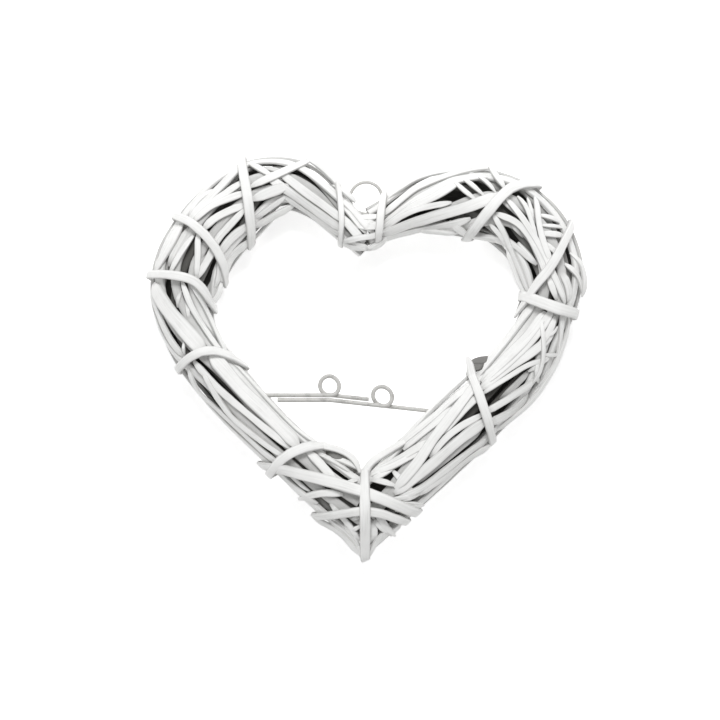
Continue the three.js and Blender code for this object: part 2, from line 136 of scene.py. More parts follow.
# Each rod's width at its two ends, and where it lies at those stations, in degrees round its bundle:
# 0 faces up, 90 is the outside of the heart, -90 its inside, 180 its back.
RODS: dict[tuple[Side, str], dict[str, tuple[float, float, list[float]]]] = {
    (Side.LEFT, "upper"): {
        "rim": (5.2, 5.5, [135, 140, 150, 145, 150, 145, 120, 98, 80, 60, 55]),
        "edge": (5.2, 5.5, [66, 82, 100, 110, 102, 102, 90, 66, 24, 12, 18]),
        "broad": (5.2, 9, [24, 45, 66, 71, 64, 58, 36, 2, -26, -24, -20]),
        "middle": (5.2, 5.5, [-8, 8, 18, 26, 22, 22, -6, -30, -58, -62, -60]),
        "narrow": (5.2, 5, [-38, -24, -11, -4, -12, -9, -42, -66, -90, -96, -98]),
        "inner": (5.5, 5.5, [-80, -55, -34, -48, -54, -60, -88, -108, -128, -136, -138]),
        "inside": (5.5, 6, [-128, -104, -90, -94, -96, -102, -130, -150, -166, -176, -178]),
        "back": (5.5, 6, [-176, -160, -148, -150, -154, -160, -186, -206, -222, -236, -236]),
    },
    (Side.LEFT, "lower"): {
        "inner": (4.6, 5, [10, 36, 2, -34, -72, -76, -60, -50, -50, -80, -80]),
        "middle": (4.6, 5, [60, 84, 50, 4, -32, -36, -20, -10, -8, -38, -40]),
        "cross": (4.6, 5, [110, 130, 100, 48, 4, 8, 25, 36, 52, 8, 0]),
        "outer": (4.8, 5, [160, 170, 142, 92, 48, 50, 70, 80, 100, 52, 45]),
        "rim": (4.8, 5.5, [210, 214, 190, 142, 102, 105, 125, 135, 150, 104, 98]),
        "back": (4.8, 5.5, [262, 260, 240, 200, 162, 162, 180, 190, 204, 166, 162]),
        "inside": (4.8, 5.5, [314, 316, 294, 262, 226, 220, 240, 250, 258, 226, 224]),
    },
    (Side.RIGHT, "upper"): {
        "back": (5.5, 6, [100, 130, 142, 155, 148, 146, 145, 140, 145, 150, 152, 155, 158]),
        "rim": (5.2, 5.5, [52, 80, 92, 110, 100, 98, 96, 92, 112, 118, 120, 124, 128]),
        "edge": (5.2, 5.5, [6, 30, 44, 62, 56, 54, 52, 50, 80, 88, 92, 96, 100]),
        "broad": (6, 5, [-62, -44, -14, 22, 20, 18, 14, 14, 50, 62, 66, 70, 74]),
        "middle": (5.2, 8, [-102, -88, -62, -30, -12, -14, -28, -42, -52, -60, -36, -8, 5]),
        "inner": (5.2, 6, [-142, -126, -106, -76, -54, -50, -64, -78, -88, -96, -80, -60, -55]),
        "inside": (5.2, 6, [-182, -164, -146, -122, -102, -98, -108, -118, -128, -134, -124, -112, -106]),
        "under": (5.5, 6, [-222, -198, -184, -166, -156, -154, -162, -168, -172, -174, -170, -164, -162]),
    },
    (Side.RIGHT, "lower"): {
        "inner": (4.6, 5, [10, 8, -18, -50, -72, -76, -56, -28, -18, -10, -4, 0, 0]),
        "middle": (4.6, 5, [60, 62, 36, -4, -30, -32, -10, 14, 20, 26, 32, 40, 42]),
        "cross": (4.6, 5, [112, 112, 86, 40, 4, 4, 30, 54, 62, 68, 74, 82, 84]),
        "outer": (4.8, 5, [164, 162, 136, 86, 40, 38, 66, 94, 104, 110, 116, 124, 126]),
        "rim": (4.8, 5.5, [214, 210, 186, 140, 86, 84, 112, 140, 150, 156, 160, 168, 170]),
        "back": (4.8, 5.5, [264, 256, 232, 190, 146, 144, 166, 190, 200, 206, 210, 216, 218]),
        "inside": (4.8, 5.5, [316, 306, 282, 246, 214, 212, 232, 258, 266, 272, 278, 286, 288]),
    },
}

# The loose splints, region by region: how far the crown lies above the rods' envelope, the width, and
# then x and y of each corner of its run as seen from above, all in millimetres.
SPLINTS: dict[str, list[tuple[float, ...]]] = {
    "left_slope_splints": [
        (0, 5.1, -33, 114.5, -25.5, 110, -18.5, 103, -12, 96),
        (0.2, 5.7, -39, 110, -27.5, 102, -17, 93, -10, 86.5),
        (0, 5.7, -48.5, 105, -34.5, 94, -20, 83.5, -11.5, 77),
        (0.2, 5.7, -55, 102, -38, 90, -24, 80, -12.5, 71.5),
        (0, 4.6, -46.5, 91, -38.5, 86, -27, 78.5, -12.5, 67.5),
        (1.3, 5.1, -31.5, 112.5, -38, 108.5, -52, 102, -64.5, 96.5),
        (0.8, 6.9, -43, 97, -53.5, 93.5, -64, 89), (0.4, 4, -45, 90.5, -53.5, 85, -62, 78.5),
        (0, 5.1, -40.5, 86, -52, 80, -63, 73), (0.2, 4, -66.5, 111.5, -58.5, 106.5, -52, 102.5),
    ],
    "left_lobe_splints": [
        (0.4, 5.7, -70, 110, -80, 98.5, -89, 89.5, -100, 78), (-1, 4, -86.5, 97, -95, 90.5, -102, 81),
        (0.2, 4.6, -68.5, 100, -79, 92.5, -87.5, 87, -96, 77.5),
        (0.8, 4.6, -66, 93.5, -76, 90, -87, 85.5, -97, 77),
        (0.4, 5.1, -67, 86.5, -77.5, 82.5, -86, 78, -91.5, 72),
        (1, 4.6, -67.5, 84, -75, 76, -83, 67.5, -87, 60),
        (0.2, 5.7, -65, 75, -73.5, 69.5, -80.5, 61.5, -82, 56.5),
        (0.2, 5.7, -65, 66, -74, 59, -78.5, 51.5, -80.5, 43),
    ],
    "left_shoulder_splints": [
        (0.4, 6.9, -104.5, 76.5, -110, 65, -115, 57, -120.5, 48.5),
        (0.8, 3.7, -97, 69, -103.5, 59.5, -110.5, 47.5),
        (-1.4, 4, -100.5, 75, -106.5, 64, -112.5, 52.5), (1, 4, -94, 70.5, -94, 58, -95, 45),
        (0.2, 5.1, -83.5, 66.5, -86.5, 58.5, -92, 49.5, -95, 44), (0.2, 4, -82, 58, -82, 49, -85, 38),
        (-1.4, 5.1, -90, 59.5, -94.5, 52.5, -98.5, 45.5),
    ],
    "left_side_splints": [
        (0.4, 10.3, -121.5, 42.5, -112, 28, -101, 15.5, -90.5, 3.5),
        (-0.6, 5.1, -123, 38, -118, 23, -112, 11, -103, -0.5), (0.2, 2.3, -102.5, 9.5, -102.5, 1.5),
        (0.8, 4, -103, 43, -98.5, 30, -91.5, 18, -84.5, 7.5, -79.5, 1.5),
        (-0.4, 2.9, -103.5, 38, -105.5, 34, -106, 28.5),
        (-0.4, 2.9, -101, 32.5, -99.5, 27, -99, 21.5),
        (0, 4, -98.5, 43, -93, 35, -87.5, 23, -82.5, 12, -77.5, 2),
        (-1, 4.6, -80, 43, -82, 35.5, -88, 29),
    ],
    "left_flank_splints": [
        (0.6, 9.7, -86.5, 2, -70.5, -17, -54.5, -32.5, -37.5, -49.5),
        (0.2, 4.6, -97, -2, -81.5, -18.5, -68.5, -29.5, -54.5, -41, -41.5, -51),
        (0.8, 3.7, -92, -7, -83, -23, -75.5, -33.5, -65.5, -41.5, -54.5, -50, -44.5, -56.5),
        (0, 4, -101.5, -5, -95.5, -20, -82, -31, -70.5, -41.5, -58.5, -53, -48, -61),
        (0, 3.4, -75.5, -0.5, -65.5, -11.5, -53, -25.5, -38, -41, -24, -50),
    ],
    "tip_splints": [
        (0.4, 4, -51.5, -62.5, -41, -72.5, -34, -78, -27.5, -83),
        (0.2, 2.6, -45, -64, -39, -69.5, -32, -76),
        (0.8, 4.6, -38.5, -81, -31, -77.5, -22.5, -75.5, -12.5, -77),
        (0.2, 5.1, -22.5, -91.5, -12.5, -98.5, -6.5, -105, -2, -111.5),
        (0.6, 6.3, -32.5, -52, -24.5, -60.5, -15.5, -71),
        (0.2, 4.6, -25.5, -53.5, -13.5, -60.5, -7, -64.5),
        (0.8, 3.7, -18.5, -56, -10, -59.5, -2, -63), (0.6, 3.4, -12.5, -71, -2, -68),
        (0.6, 4.6, 28, -54, 15.5, -61, 3, -65.5), (1.2, 3.7, 3.5, -69, 10.5, -69.5, 17.5, -72),
        (0.2, 5.1, 5.5, -86.5, 11, -94, 16, -102), (-0.6, 5.1, 3.5, -91.5, 6.5, -98.5, 4, -107),
        (0, 2.9, 12.5, -80.5, 22.5, -78.5, 32.5, -77.5), (0, 2.9, 17, -83, 24.5, -82, 33.5, -84),
        (-0.4, 4.6, -12.5, -93, -7, -102, -2, -115), (0.4, 2.9, -8, -91.5, -2, -89),
        (0.8, 2.9, -8.5, -98, -2, -94.5),
        (0, 4.6, -30.5, -91, -22.5, -95, -15.5, -99, -8.5, -106, -3.5, -113),
        (0.2, 4, 22, -91.5, 17.5, -99, 10.5, -99, 5, -106, 3, -113.5),
        (-0.2, 4, -20, -83, -14, -89, -7.5, -97, -3, -105.5), (0, 4.6, 15, -63, 22, -70, 27.5, -77),
        (1.4, 4.6, -29, -50, -22.5, -50.5, -15, -52, -9, -55, -5, -59, -3, -64.5),
        (0.4, 5.1, 3, -69, 9, -65.5, 16.5, -61), (0.4, 4, 7.5, -92, 13, -97, 18, -102),
        (0.4, 3.4, 17.5, -87, 25.5, -85, 34.5, -84.5), (0.2, 3.4, 18.5, -81, 25.5, -79, 31.5, -78),
        (0.4, 6.3, 5, -92, 12, -97, 17.5, -101),
    ],
    "crotch_strip": [
        (1.6, 5.7, 23.5, -46.5, 16.5, -51.5, 8.5, -56, 3, -59.5, 0.5, -64, 0, -69.5),
    ],
    # these splints get extra painted shade, which colours them dark grey
    "painted_shade_splints": [
        (-0.8, 7.4, -21, -52, -13.5, -54.5, -8, -58, -4, -63.5),
        (-0.6, 7.4, 58, -5, 63.5, -3.5, 72, -2.5), (-1.2, 5.1, 58.5, -1.5, 64.5, -0.5, 73, 1),
    ],
    "right_slope_splints": [
        (0.2, 4.6, 10, 90, 18, 95.5, 27.5, 102, 37.5, 105.5, 52.5, 107.5, 69, 110),
        (0.6, 4.6, 10, 81, 19, 88.5, 28, 96, 42, 102, 54.5, 106, 70.5, 109),
        (0, 5.1, 10, 75, 20.5, 83, 31, 91, 40, 95.5, 47.5, 100, 58.5, 102.5, 71.5, 104),
        (0.4, 5.1, 10, 73, 17, 78, 28, 86.5, 38.5, 90.5, 47.5, 96, 53.5, 100.5),
        (0.8, 4, 11, 73, 17.5, 78.5, 29, 84, 39.5, 86, 48.5, 87.5),
        (1.2, 3.1, 50, 100, 55, 94.5, 62.5, 89), (1.2, 3.1, 54.5, 102, 61, 96.5, 67, 91.5),
        (1.4, 2.9, 63.5, 103, 68.5, 99, 73.5, 93.5), (1.4, 4.6, 70.5, 109.5, 73.5, 103, 79, 96),
        (-1.4, 3.4, 42, 100, 51, 101.5, 60, 102.5),
        (0.8, 7.4, 8.5, 69.5, 24.5, 75.5, 41.5, 80.5, 58, 85, 76, 92),
        (0.2, 5.1, 7, 65.5, 18, 69.5, 33, 73, 51, 75.5, 59.5, 78),
        (0, 3.4, 28.5, 72, 41, 71, 53, 69.5), (0.6, 5.7, 47.5, 76.5, 54, 72.5, 59, 68),
    ],
    "right_shoulder_splints": [
        (0.4, 3.7, 71.5, 81.5, 78.5, 70.5, 84, 58, 89.5, 45.5, 92.5, 36),
        (0.4, 4.6, 73, 81.5, 85, 77, 92, 69.5, 96.5, 61.5, 100, 52.5, 103, 44),
        (1, 4, 79.5, 90, 88, 79.5, 95.5, 68, 101.5, 57, 106.5, 45.5, 113, 30.5),
        (1.4, 2.9, 86, 91.5, 91, 84.5, 94, 75, 97, 66),
        (1.6, 4, 96, 91.5, 97, 81, 98, 72, 101.5, 61.5, 105, 52.5),
        (0.6, 2.6, 92, 91, 93.5, 83, 94.5, 76.5), (0.8, 3.1, 98, 81, 104, 79.5, 111, 77),
        (0.6, 2.6, 98.5, 75, 105.5, 74.5, 112.5, 74), (1, 4.3, 97.5, 70, 105.5, 70, 113, 69),
        (0.2, 3.4, 99, 66.5, 105.5, 61.5, 110, 57), (0.2, 4, 113, 53.5, 121, 47, 124.5, 36.5),
        (0, 4, 117, 60, 124, 53, 125.5, 42.5, 124.5, 34.5),
        (-0.6, 5.1, 110.5, 49.5, 115.5, 40.5, 116.5, 30), (0.4, 4.6, 103, 48, 105, 39.5, 108, 33),
        (0.6, 3.4, 100, 45, 96, 40, 94, 36), (0, 3.4, 79.5, 62, 83.5, 52, 86.5, 42.5, 90.5, 35.5),
        (-0.4, 4, 72, 72.5, 79.5, 66.5, 88.5, 60, 94.5, 53.5), (0.2, 4, 70, 75, 76.5, 69.5, 80.5, 62),
        (-0.6, 4.6, 85.5, 64.5, 90.5, 58, 96, 52.5),
    ],
    "right_limb_splints": [
        (0.2, 7.4, 94.5, 31, 84, 16, 72.5, 2, 62.5, -10),
        (0.4, 7.4, 101.5, 26, 91, 11.5, 77.5, -2, 65.5, -13),
        (0.2, 3.4, 103.5, -0.5, 91, -4, 77.5, -12.5, 65.5, -20),
        (1.2, 2.9, 99, 22, 100.5, 6, 99.5, -5, 94.5, -15),
        (0.2, 4, 111.5, 27, 111, 10, 110, -0.5, 105, -9.5, 98, -18),
        (0, 3.4, 116, 26.5, 116, 17.5, 114, 9.5, 108.5, -5, 100, -18.5,
            92.5, -27.5, 82.5, -36, 74, -42.5),
        (0.6, 4.6, 96.5, -13, 80, -23.5, 67, -31), (0.2, 6.3, 93.5, -21.5, 84.5, -30.5, 69, -38),
        (0.8, 2.6, 100.5, 11.5, 106.5, 14, 109, 17.5), (0.8, 2.6, 100, 2, 105, 1.5, 111.5, 2),
        (0.6, 3.4, 97.5, -2, 96, -10, 99.5, -15),
        (0.1, 6.3, 105.5, 27.5, 99, 17, 90, 6.5, 80.5, -2.5, 72.5, -9, 65.5, -14.5),
        (0.2, 4.6, 107.5, 23.5, 103, 13.5, 97, 5.5), (-0.2, 4, 108, 3.5, 100.5, -2.5, 92.5, -8),
        (-0.1, 5.7, 107.5, 15, 101, 8.5, 91.5, 1.5, 80.5, -5.5, 71.5, -12, 64, -17.5),
    ],
    "right_flank_splints": [
        (0.6, 5.1, 61, -14, 48, -24.5, 38.5, -33.5, 27, -43, 19, -49.5),
        (1.4, 6.9, 64, -13, 57.5, -21.5, 48, -33.5, 38, -46, 29.5, -59, 17, -73.5),
        (0.2, 4.6, 67, -31.5, 54, -38, 44.5, -45.5, 36.5, -56),
        (0.6, 6.9, 68.5, -35, 54, -45.5, 42, -56, 29.5, -66.5, 16.5, -76.5),
        (0.2, 4.6, 71.5, -45, 59.5, -53, 43, -65.5, 31, -74.5, 19, -79),
        (0, 4.6, 72.5, -50, 58, -58, 48, -66, 35, -74.5, 29.5, -78.5),
        (0.2, 5.1, 36.5, -46, 23, -54.5, 11, -61.5, 1, -66.5),
        (0, 5.1, 66, -19, 57, -27.5, 49, -36, 42, -43), (2.2, 5.1, 58, 1, 60, -3.5, 61, -9, 63, -16),
        (0, 5.1, 51, -26.5, 42.5, -34, 31, -43, 21, -51), (0, 4, 18.5, -58.5, 26.5, -55.5, 33, -50.5),
    ],
    "cleft_splints": [
        (1.2, 5.1, -18, 98.5, -11.5, 93.5, -5, 89), (0.6, 5.7, -14, 91, -5, 81.5, 1.5, 74.5, 5, 70),
        (0.4, 5.7, -14, 81, -9.5, 75.5, -4, 69, -0.5, 65),
        (2.2, 4, -14, 66.5, -5, 67.5, 3, 69, 11, 72),
        (0.4, 4.6, -16.5, 73.5, -12, 66.5, -5, 64, 1.5, 62), (0.8, 4.6, 12, 69, 6, 64, 1, 61.5),
        (0.2, 3.4, -1.5, 78, 6, 76), (0, 5.4, -12.5, 87.5, -7.5, 81.5, -2.5, 75, 1, 71),
        (0.2, 4.6, -5.5, 81.5, -1, 79.5, 4.5, 79.5, 8.5, 81),
        (-0.2, 5.1, -7.5, 76.5, -1.5, 74.5, 5.5, 74, 13, 76.5),
        (1.2, 4.6, -16, 67.5, -8.5, 63.5, 0, 61), (1.4, 4.6, -0.5, 61, 6, 63.5, 13, 68),
    ],
    # low splints in the gaps, which the painted shade of the hollow colours mid grey
    "deep_splints": [
        (-2.2, 4, 77, -24, 86, -15.5, 94.5, -7), (-2, 3.4, 28.5, -72, 43, -61, 55.5, -51, 67, -42),
        (-2, 2.9, 40.5, -52.5, 49, -47, 56.5, -42), (-1.6, 3.4, 76, 90.5, 90, 78, 95.5, 67.5),
        (-1.6, 3.4, 80.5, 78, 88.5, 67.5), (-1.8, 3.4, -59, 110, -46, 106, -34.5, 96),
    ],
}


def set_down() -> Vector:
    """Where the middle of the heart lies in the row frame, from the hanging ring's node.

    Returns:
        The offset in metres that is added to every place in the tables.
    """
    low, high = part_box("hanging_ring")
    return (low + high) / 2 - Vector((*RING_MIDDLE, 0.0)) * MM


SET_DOWN = set_down()


def distances(corners: np.ndarray) -> np.ndarray:
    """How far along a line in the plan each of its corners lies."""
    return np.concatenate([[0.0], np.cumsum(np.hypot(*(corners[1:] - corners[:-1]).T))])


def rounded(rows: np.ndarray, times: int = 2) -> np.ndarray:
    """Averages each row with its neighbours, and keeps the first and the last.

    Args:
        rows: The rows.
        times: How often it is done.

    Returns:
        The averaged rows.
    """
    out = rows.astype(float).copy()
    for _ in range(times):
        out[1:-1] = (out[:-2] + 2 * out[1:-1] + out[2:]) / 4
    return out


@dataclass
class Bundle:
    """The envelope of one side of the heart, which its rods, splints and bindings follow.

    Attributes:
        side: Which side of the heart it is.
        step: Distance between the samples of its middle line, in millimetres.
    """

    side: Side
    step: float = 1.0

    def __post_init__(self) -> None:
        """Works out the distances along the middle line and samples it, with its bends rounded."""
        rows = np.array(list(STATIONS[self.side].values()), float)
        knots = distances(rows[:, :2])
        self.where = dict(zip(STATIONS[self.side], knots))
        self.outward = -1.0 if self.side is Side.LEFT else 1.0
        self.grid = np.arange(-RUN_ON, knots[-1] + RUN_ON, self.step)
        self.rows = np.column_stack([self._smooth(self.grid, knots, column) for column in rows.T])
        tangent = np.gradient(self.rows[:, :2], axis=0)
        self.tangent = tangent / np.linalg.norm(tangent, axis=1)[:, None]

    @staticmethod
    def _smooth(at: np.ndarray, knots: np.ndarray, values: np.ndarray, clamp: bool = False) -> np.ndarray:
        """Reads a table averaged over a stretch, which rounds its corners.

        Args:
            at: Distances along the bundle.
            knots: The table's distances.
            values: The table's values.
            clamp: Whether the table ends flat, and doesn't run on.

        Returns:
            The averaged values.
        """
        def read(v: np.ndarray) -> np.ndarray:
            """The table at v, run on in a straight line past its ends.

            Args:
                v: Distances along the bundle.

            Returns:
                The table's values there.
            """
            out = np.interp(v, knots, values)
            for end, inner, past in ((0, 1, v < knots[0]), (-1, -2, v > knots[-1])):
                slope = (values[end] - values[inner]) / (knots[end] - knots[inner])
                out = out if clamp else np.where(past, values[end] + slope * (v - knots[end]), out)
            return out

        shifts = np.arange(-BEND_SAMPLES, BEND_SAMPLES + 1) / BEND_SAMPLES * BEND_REACH
        return np.mean([read(at + shift) for shift in shifts], axis=0)

    def angles(self, at: list[float], degrees: list[float]) -> np.ndarray:
        """The angle of a rod at distances along the bundle.

        Args:
            at: The distances, in millimetres.
            degrees: The rod's angles at the stations, in degrees.

        Returns:
            Its angles at the distances, in radians.
        """
        knots = np.array([self.where[name] for name in PASSES[self.side]])
        return np.radians(self._smooth(np.array(at), knots, np.array(degrees, float), clamp=True))

    def frame(self, at: float) -> tuple[Vector, Vector, float, float]:
        """The bundle's middle, its level outward direction, half-width and half-depth at a distance.

        Args:
            at: Distance along the bundle, in millimetres.

        Returns:
            Middle point, outward direction, half-width and half-depth.
        """
        x, y, half, deep = (float(np.interp(at, self.grid, self.rows[:, k])) for k in range(4))
        tx, ty = (float(np.interp(at, self.grid, self.tangent[:, k])) for k in range(2))
        out = Vector((ty, -tx, 0.0)).normalized() * -self.outward
        return Vector((x, y, 0.0)), out, half, deep

    def shell(self, at: float, angle: float, depth: float) -> tuple[Vector, Vector]:
        """A point so far below the envelope, and the envelope's outward normal there.

        Args:
            at: Distance along the bundle, in millimetres.
            angle: Angle round the bundle, in radians.
            depth: Millimetres below the envelope.

        Returns:
            The point and the unit normal.
        """
        middle, out, half, deep = self.frame(at)
        wide, high = half - depth, deep - depth
        point = middle + out * (wide * math.sin(angle)) + Vector((0, 0, high * math.cos(angle)))
        normal = out * (math.sin(angle) / wide) + Vector((0, 0, math.cos(angle) / high))
        return point, normal.normalized()

    def place(self, x: float, y: float) -> tuple[float, float]:
        """Where a plan point lies against the bundle.

        Args:
            x: Millimetres from the middle of the heart.
            y: Millimetres from the middle of the heart.

        Returns:
            Its distance along the bundle, and its offset outwards from the bundle's middle.
        """
        away = np.hypot(self.rows[:, 0] - x, self.rows[:, 1] - y)
        at = float(self.grid[int(np.argmin(away))])
        middle, out, _, _ = self.frame(at)
        return at, (Vector((x, y, 0.0)) - middle).dot(out)

    def inside(self, point: Vector, grow: float = 0.0) -> bool:
        """Whether a point lies inside the envelope.

        Args:
            point: The point, in millimetres from the middle of the heart.
            grow: How much larger the envelope is taken, in millimetres.

        Returns:
            True inside it.
        """
        if point.x * self.outward < -PAST_MIDDLE:
            return False
        at, offset = self.place(point.x, point.y)
        _, _, half, deep = self.frame(at)
        return (offset / (half + grow)) ** 2 + (point.z / (deep + grow)) ** 2 < 1.0


def linear(hex_colour: str) -> tuple[float, float, float, float]:
    """Turns an sRGB hex colour to linear.

    Args:
        hex_colour: Six hex digits.

    Returns:
        Linear red, green and blue, with alpha 1.
    """
    parts = [int(hex_colour[i : i + 2], 16) / 255 for i in (0, 2, 4)]
    curve = [c / 12.92 if c <= 0.04045 else ((c + 0.055) / 1.055) ** 2.4 for c in parts]
    return (curve[0], curve[1], curve[2], 1.0)


def set_up(
    material: bpy.types.Material, node: bpy.types.Node, settings: dict | None = None,
    links: dict | None = None,
) -> None:
    """Sets and links a node of a material.

    Args:
        material: The material.
        node: The node.
        settings: Attributes, or input values where the name is one of its inputs.
        links: Input name or index to the output socket that feeds it.
    """
    for name, value in (settings or {}).items():
        if isinstance(name, str) and hasattr(node, name):
            setattr(node, name, value)
        else:
            node.inputs[name].default_value = value
    for name, socket in (links or {}).items():
        material.node_tree.links.new(socket, node.inputs[name])


def add_node(
    material: bpy.types.Material, kind: str, settings: dict | None = None, links: dict | None = None
) -> bpy.types.Node:
    """Adds a node to a material.

    Args:
        material: The material it goes into.
        kind: The node's type name.
        settings: As for set_up.
        links: As for set_up.

    Returns:
        The new node.
    """
    node = material.node_tree.nodes.new(kind)
    set_up(material, node, settings, links)
    return node


def new_material(name: str, settings: dict) -> tuple[bpy.types.Material, bpy.types.Node]:
    """Makes a material.

    Args:
        name: Its name.
        settings: The input values of its shader.

    Returns:
        The material and its shader.
    """
    made = bpy.data.materials.new(name)
    made.use_nodes = True
    shader = made.node_tree.nodes["Principled BSDF"]
    set_up(made, shader, settings)
    return made, shader


@dataclass(frozen=True)
class PaintedWillow:
    """Chalky white paint, sprayed over split willow.

    The paint is matt and a little uneven, and the fibres of the split face show through as fine ridges.
    Shade is painted into the colour along the sharp sides of a strip and towards the hollow inside,
    where it turns to a dark grey.

    Attributes:
        coat: Colour where the paint is thick.
        thin: Colour where it is thin, most of all on the ridges of a worn patch.
        shade_tone: The dark grey of the painted shade inside the bundles and along a strip's sides.
        side_shade: How much painted shade shows along a strip's sides.
        thin_share: How much of the thin colour shows everywhere.
        worn_patch: How much more of it shows on the ridges of a worn patch.
        fibre: Width of a fibre in millimetres, drawn as coarse as it needs to show.
        fibre_stretch: Its width as a share of its length.
        blotch: Size of the uneven patches in millimetres.
        ridge: How strongly the fibres stand out.
        ridge_height: Their height in millimetres.
    """

    coat: str = "fbfbfa"
    thin: str = "d9d9d7"
    # the dark grey of the painted shade in the hollow and along the strips' sides
    shade_tone: str = "5a5956"
    side_shade: float = 0.32
    thin_share: float = 0.25
    worn_patch: float = 0.55
    fibre: float = 0.9
    fibre_stretch: float = 0.035
    blotch: float = 16.0
    ridge: float = 0.35
    ridge_height: float = 0.25

    def material(self) -> bpy.types.Material:
        """Builds the material.

        Returns:
            The material.
        """
        made, shader = new_material(
            "chalky_white_paint_on_split_willow",
            {"Roughness": 0.72, "IOR": 1.46, "Specular IOR Level": 0.32},
        )
        place = add_node(made, "ShaderNodeTexCoord").outputs["Object"]
        grain = add_node(made, "ShaderNodeUVMap", {"uv_map": "grain"}).outputs["UV"]
        outwardness, sides = (
            add_node(made, "ShaderNodeAttribute", {"attribute_name": name}).outputs["Fac"]
            for name in ("outwardness", "edge")
        )
        stretch = add_node(
            made, "ShaderNodeMapping", {"Scale": (self.fibre_stretch, 1.0, 1.0)}, {"Vector": grain}
        ).outputs["Vector"]
        blotches, fibres = (
            add_node(
                made,
                "ShaderNodeTexNoise",
                {"Scale": 1.0 / (size * MM), "Detail": detail, "Roughness": rough},
                {"Vector": vector},
            ).outputs["Fac"]
            for size, detail, rough, vector in (
                (self.blotch, 4.0, 0.6, place),
                (self.fibre, 3.0, 0.55, stretch),
            )
        )
        ridges, worn, depth, edge = (
            add_node(
                made,
                "ShaderNodeMapRange",
                {"From Min": low, "From Max": high, "To Min": at_low, "To Max": at_high},
                {"Value": value},
            ).outputs["Result"]
            for value, low, high, at_low, at_high in (
                (fibres, 0.38, 0.62, 0.0, 1.0),
                (blotches, 0.3, 0.66, self.worn_patch, 0.0),
                # painted shade, darker towards the hollow inside
                (outwardness, 0.7, 0.985, 1.0, 0.0),
                # painted shade, darker along a strip's sides
                (sides, 0.76, 1.0, 0.0, self.side_shade),
            )
        )
        thinned = add_node(
            made,
            "ShaderNodeMath",
            {"operation": "MULTIPLY_ADD", 2: self.thin_share},
            {0: ridges, 1: worn},
        )
        painted = add_node(
            made,
            "ShaderNodeMix",
            {"data_type": "RGBA", "A": linear(self.coat), "B": linear(self.thin)},
            {"Factor": thinned.outputs["Value"]},
        )
        # the painted shade: the darker of the two, mixed towards the dark grey below
        painted_shade = add_node(made, "ShaderNodeMath", {"operation": "MAXIMUM"}, {0: depth, 1: edge})
        colour = add_node(
            made,
            "ShaderNodeMix",
            {"data_type": "RGBA", "B": linear(self.shade_tone)},
            {"Factor": painted_shade.outputs["Value"], "A": painted.outputs["Result"]},
        )
        bump = add_node(
            made,
            "ShaderNodeBump",
            {"Strength": self.ridge, "Distance": self.ridge_height * MM},
            {"Height": ridges},
        )
        finish = {"Base Color": colour.outputs["Result"], "Normal": bump.outputs["Normal"]}
        set_up(made, shader, links=finish)
        return made


@dataclass(frozen=True)
class PaintedWire:
    """Thin satin white paint on steel wire, scuffed a little grey where it was bent.

    Attributes:
        coat: Colour of the paint, its white greyed as painted shade on the thin wire.
        scuffed: Colour where the paint is rubbed thin.
        scuff: Size of the rubbed patches in millimetres.
        rubbed: How much of the scuffed colour shows in them.
        dent: How strongly they stand out.
        dent_depth: Their depth in millimetres.
    """

    # a light grey: the white paint with painted shade in it
    coat: str = "c4c3c0"
    scuffed: str = "8b8a87"
    scuff: float = 5.0
    rubbed: float = 0.8
    dent: float = 0.2
    dent_depth: float = 0.1

    def material(self) -> bpy.types.Material:
        """Builds the material.

        Returns:
            The material.
        """
        made, shader = new_material("satin_white_paint_on_steel_wire", {"Roughness": 0.42, "IOR": 1.5})
        patches = add_node(
            made,
            "ShaderNodeTexNoise",
            {"Scale": 1.0 / (self.scuff * MM), "Detail": 5.0, "Roughness": 0.65},
            {"Vector": add_node(made, "ShaderNodeTexCoord").outputs["Object"]},
        ).outputs["Fac"]
        worn = add_node(
            made,
            "ShaderNodeMapRange",
            {"From Min": 0.5, "From Max": 0.72, "To Min": 0.0, "To Max": self.rubbed},
            {"Value": patches},
        )
        colour = add_node(
            made,
            "ShaderNodeMix",
            {"data_type": "RGBA", "A": linear(self.coat), "B": linear(self.scuffed)},
            {"Factor": worn.outputs["Result"]},
        )
        bump = add_node(
            made,
            "ShaderNodeBump",
            {"Strength": self.dent, "Distance": self.dent_depth * MM},
            {"Height": patches},
        )
        finish = {"Base Color": colour.outputs["Result"], "Normal": bump.outputs["Normal"]}
        set_up(made, shader, links=finish)
        return made


def pick(*pieces: bpy.types.Object) -> None:
    """Selects these pieces and no others, and makes the first the active one.

    Args:
        pieces: The pieces.
    """
    bpy.ops.object.select_all(action="DESELECT")
    for piece in pieces:
        piece.select_set(True)
    bpy.context.view_layer.objects.active = pieces[0]


def joined(name: str, pieces: list[bpy.types.Object]) -> bpy.types.Object:
    """Joins pieces into the first of them.

    Args:
        name: The joined piece's name.
        pieces: The pieces.

    Returns:
        The joined piece.
    """
    pick(*pieces)
    if len(pieces) > 1:
        bpy.ops.object.join()
    pieces[0].name = name
    return pieces[0]


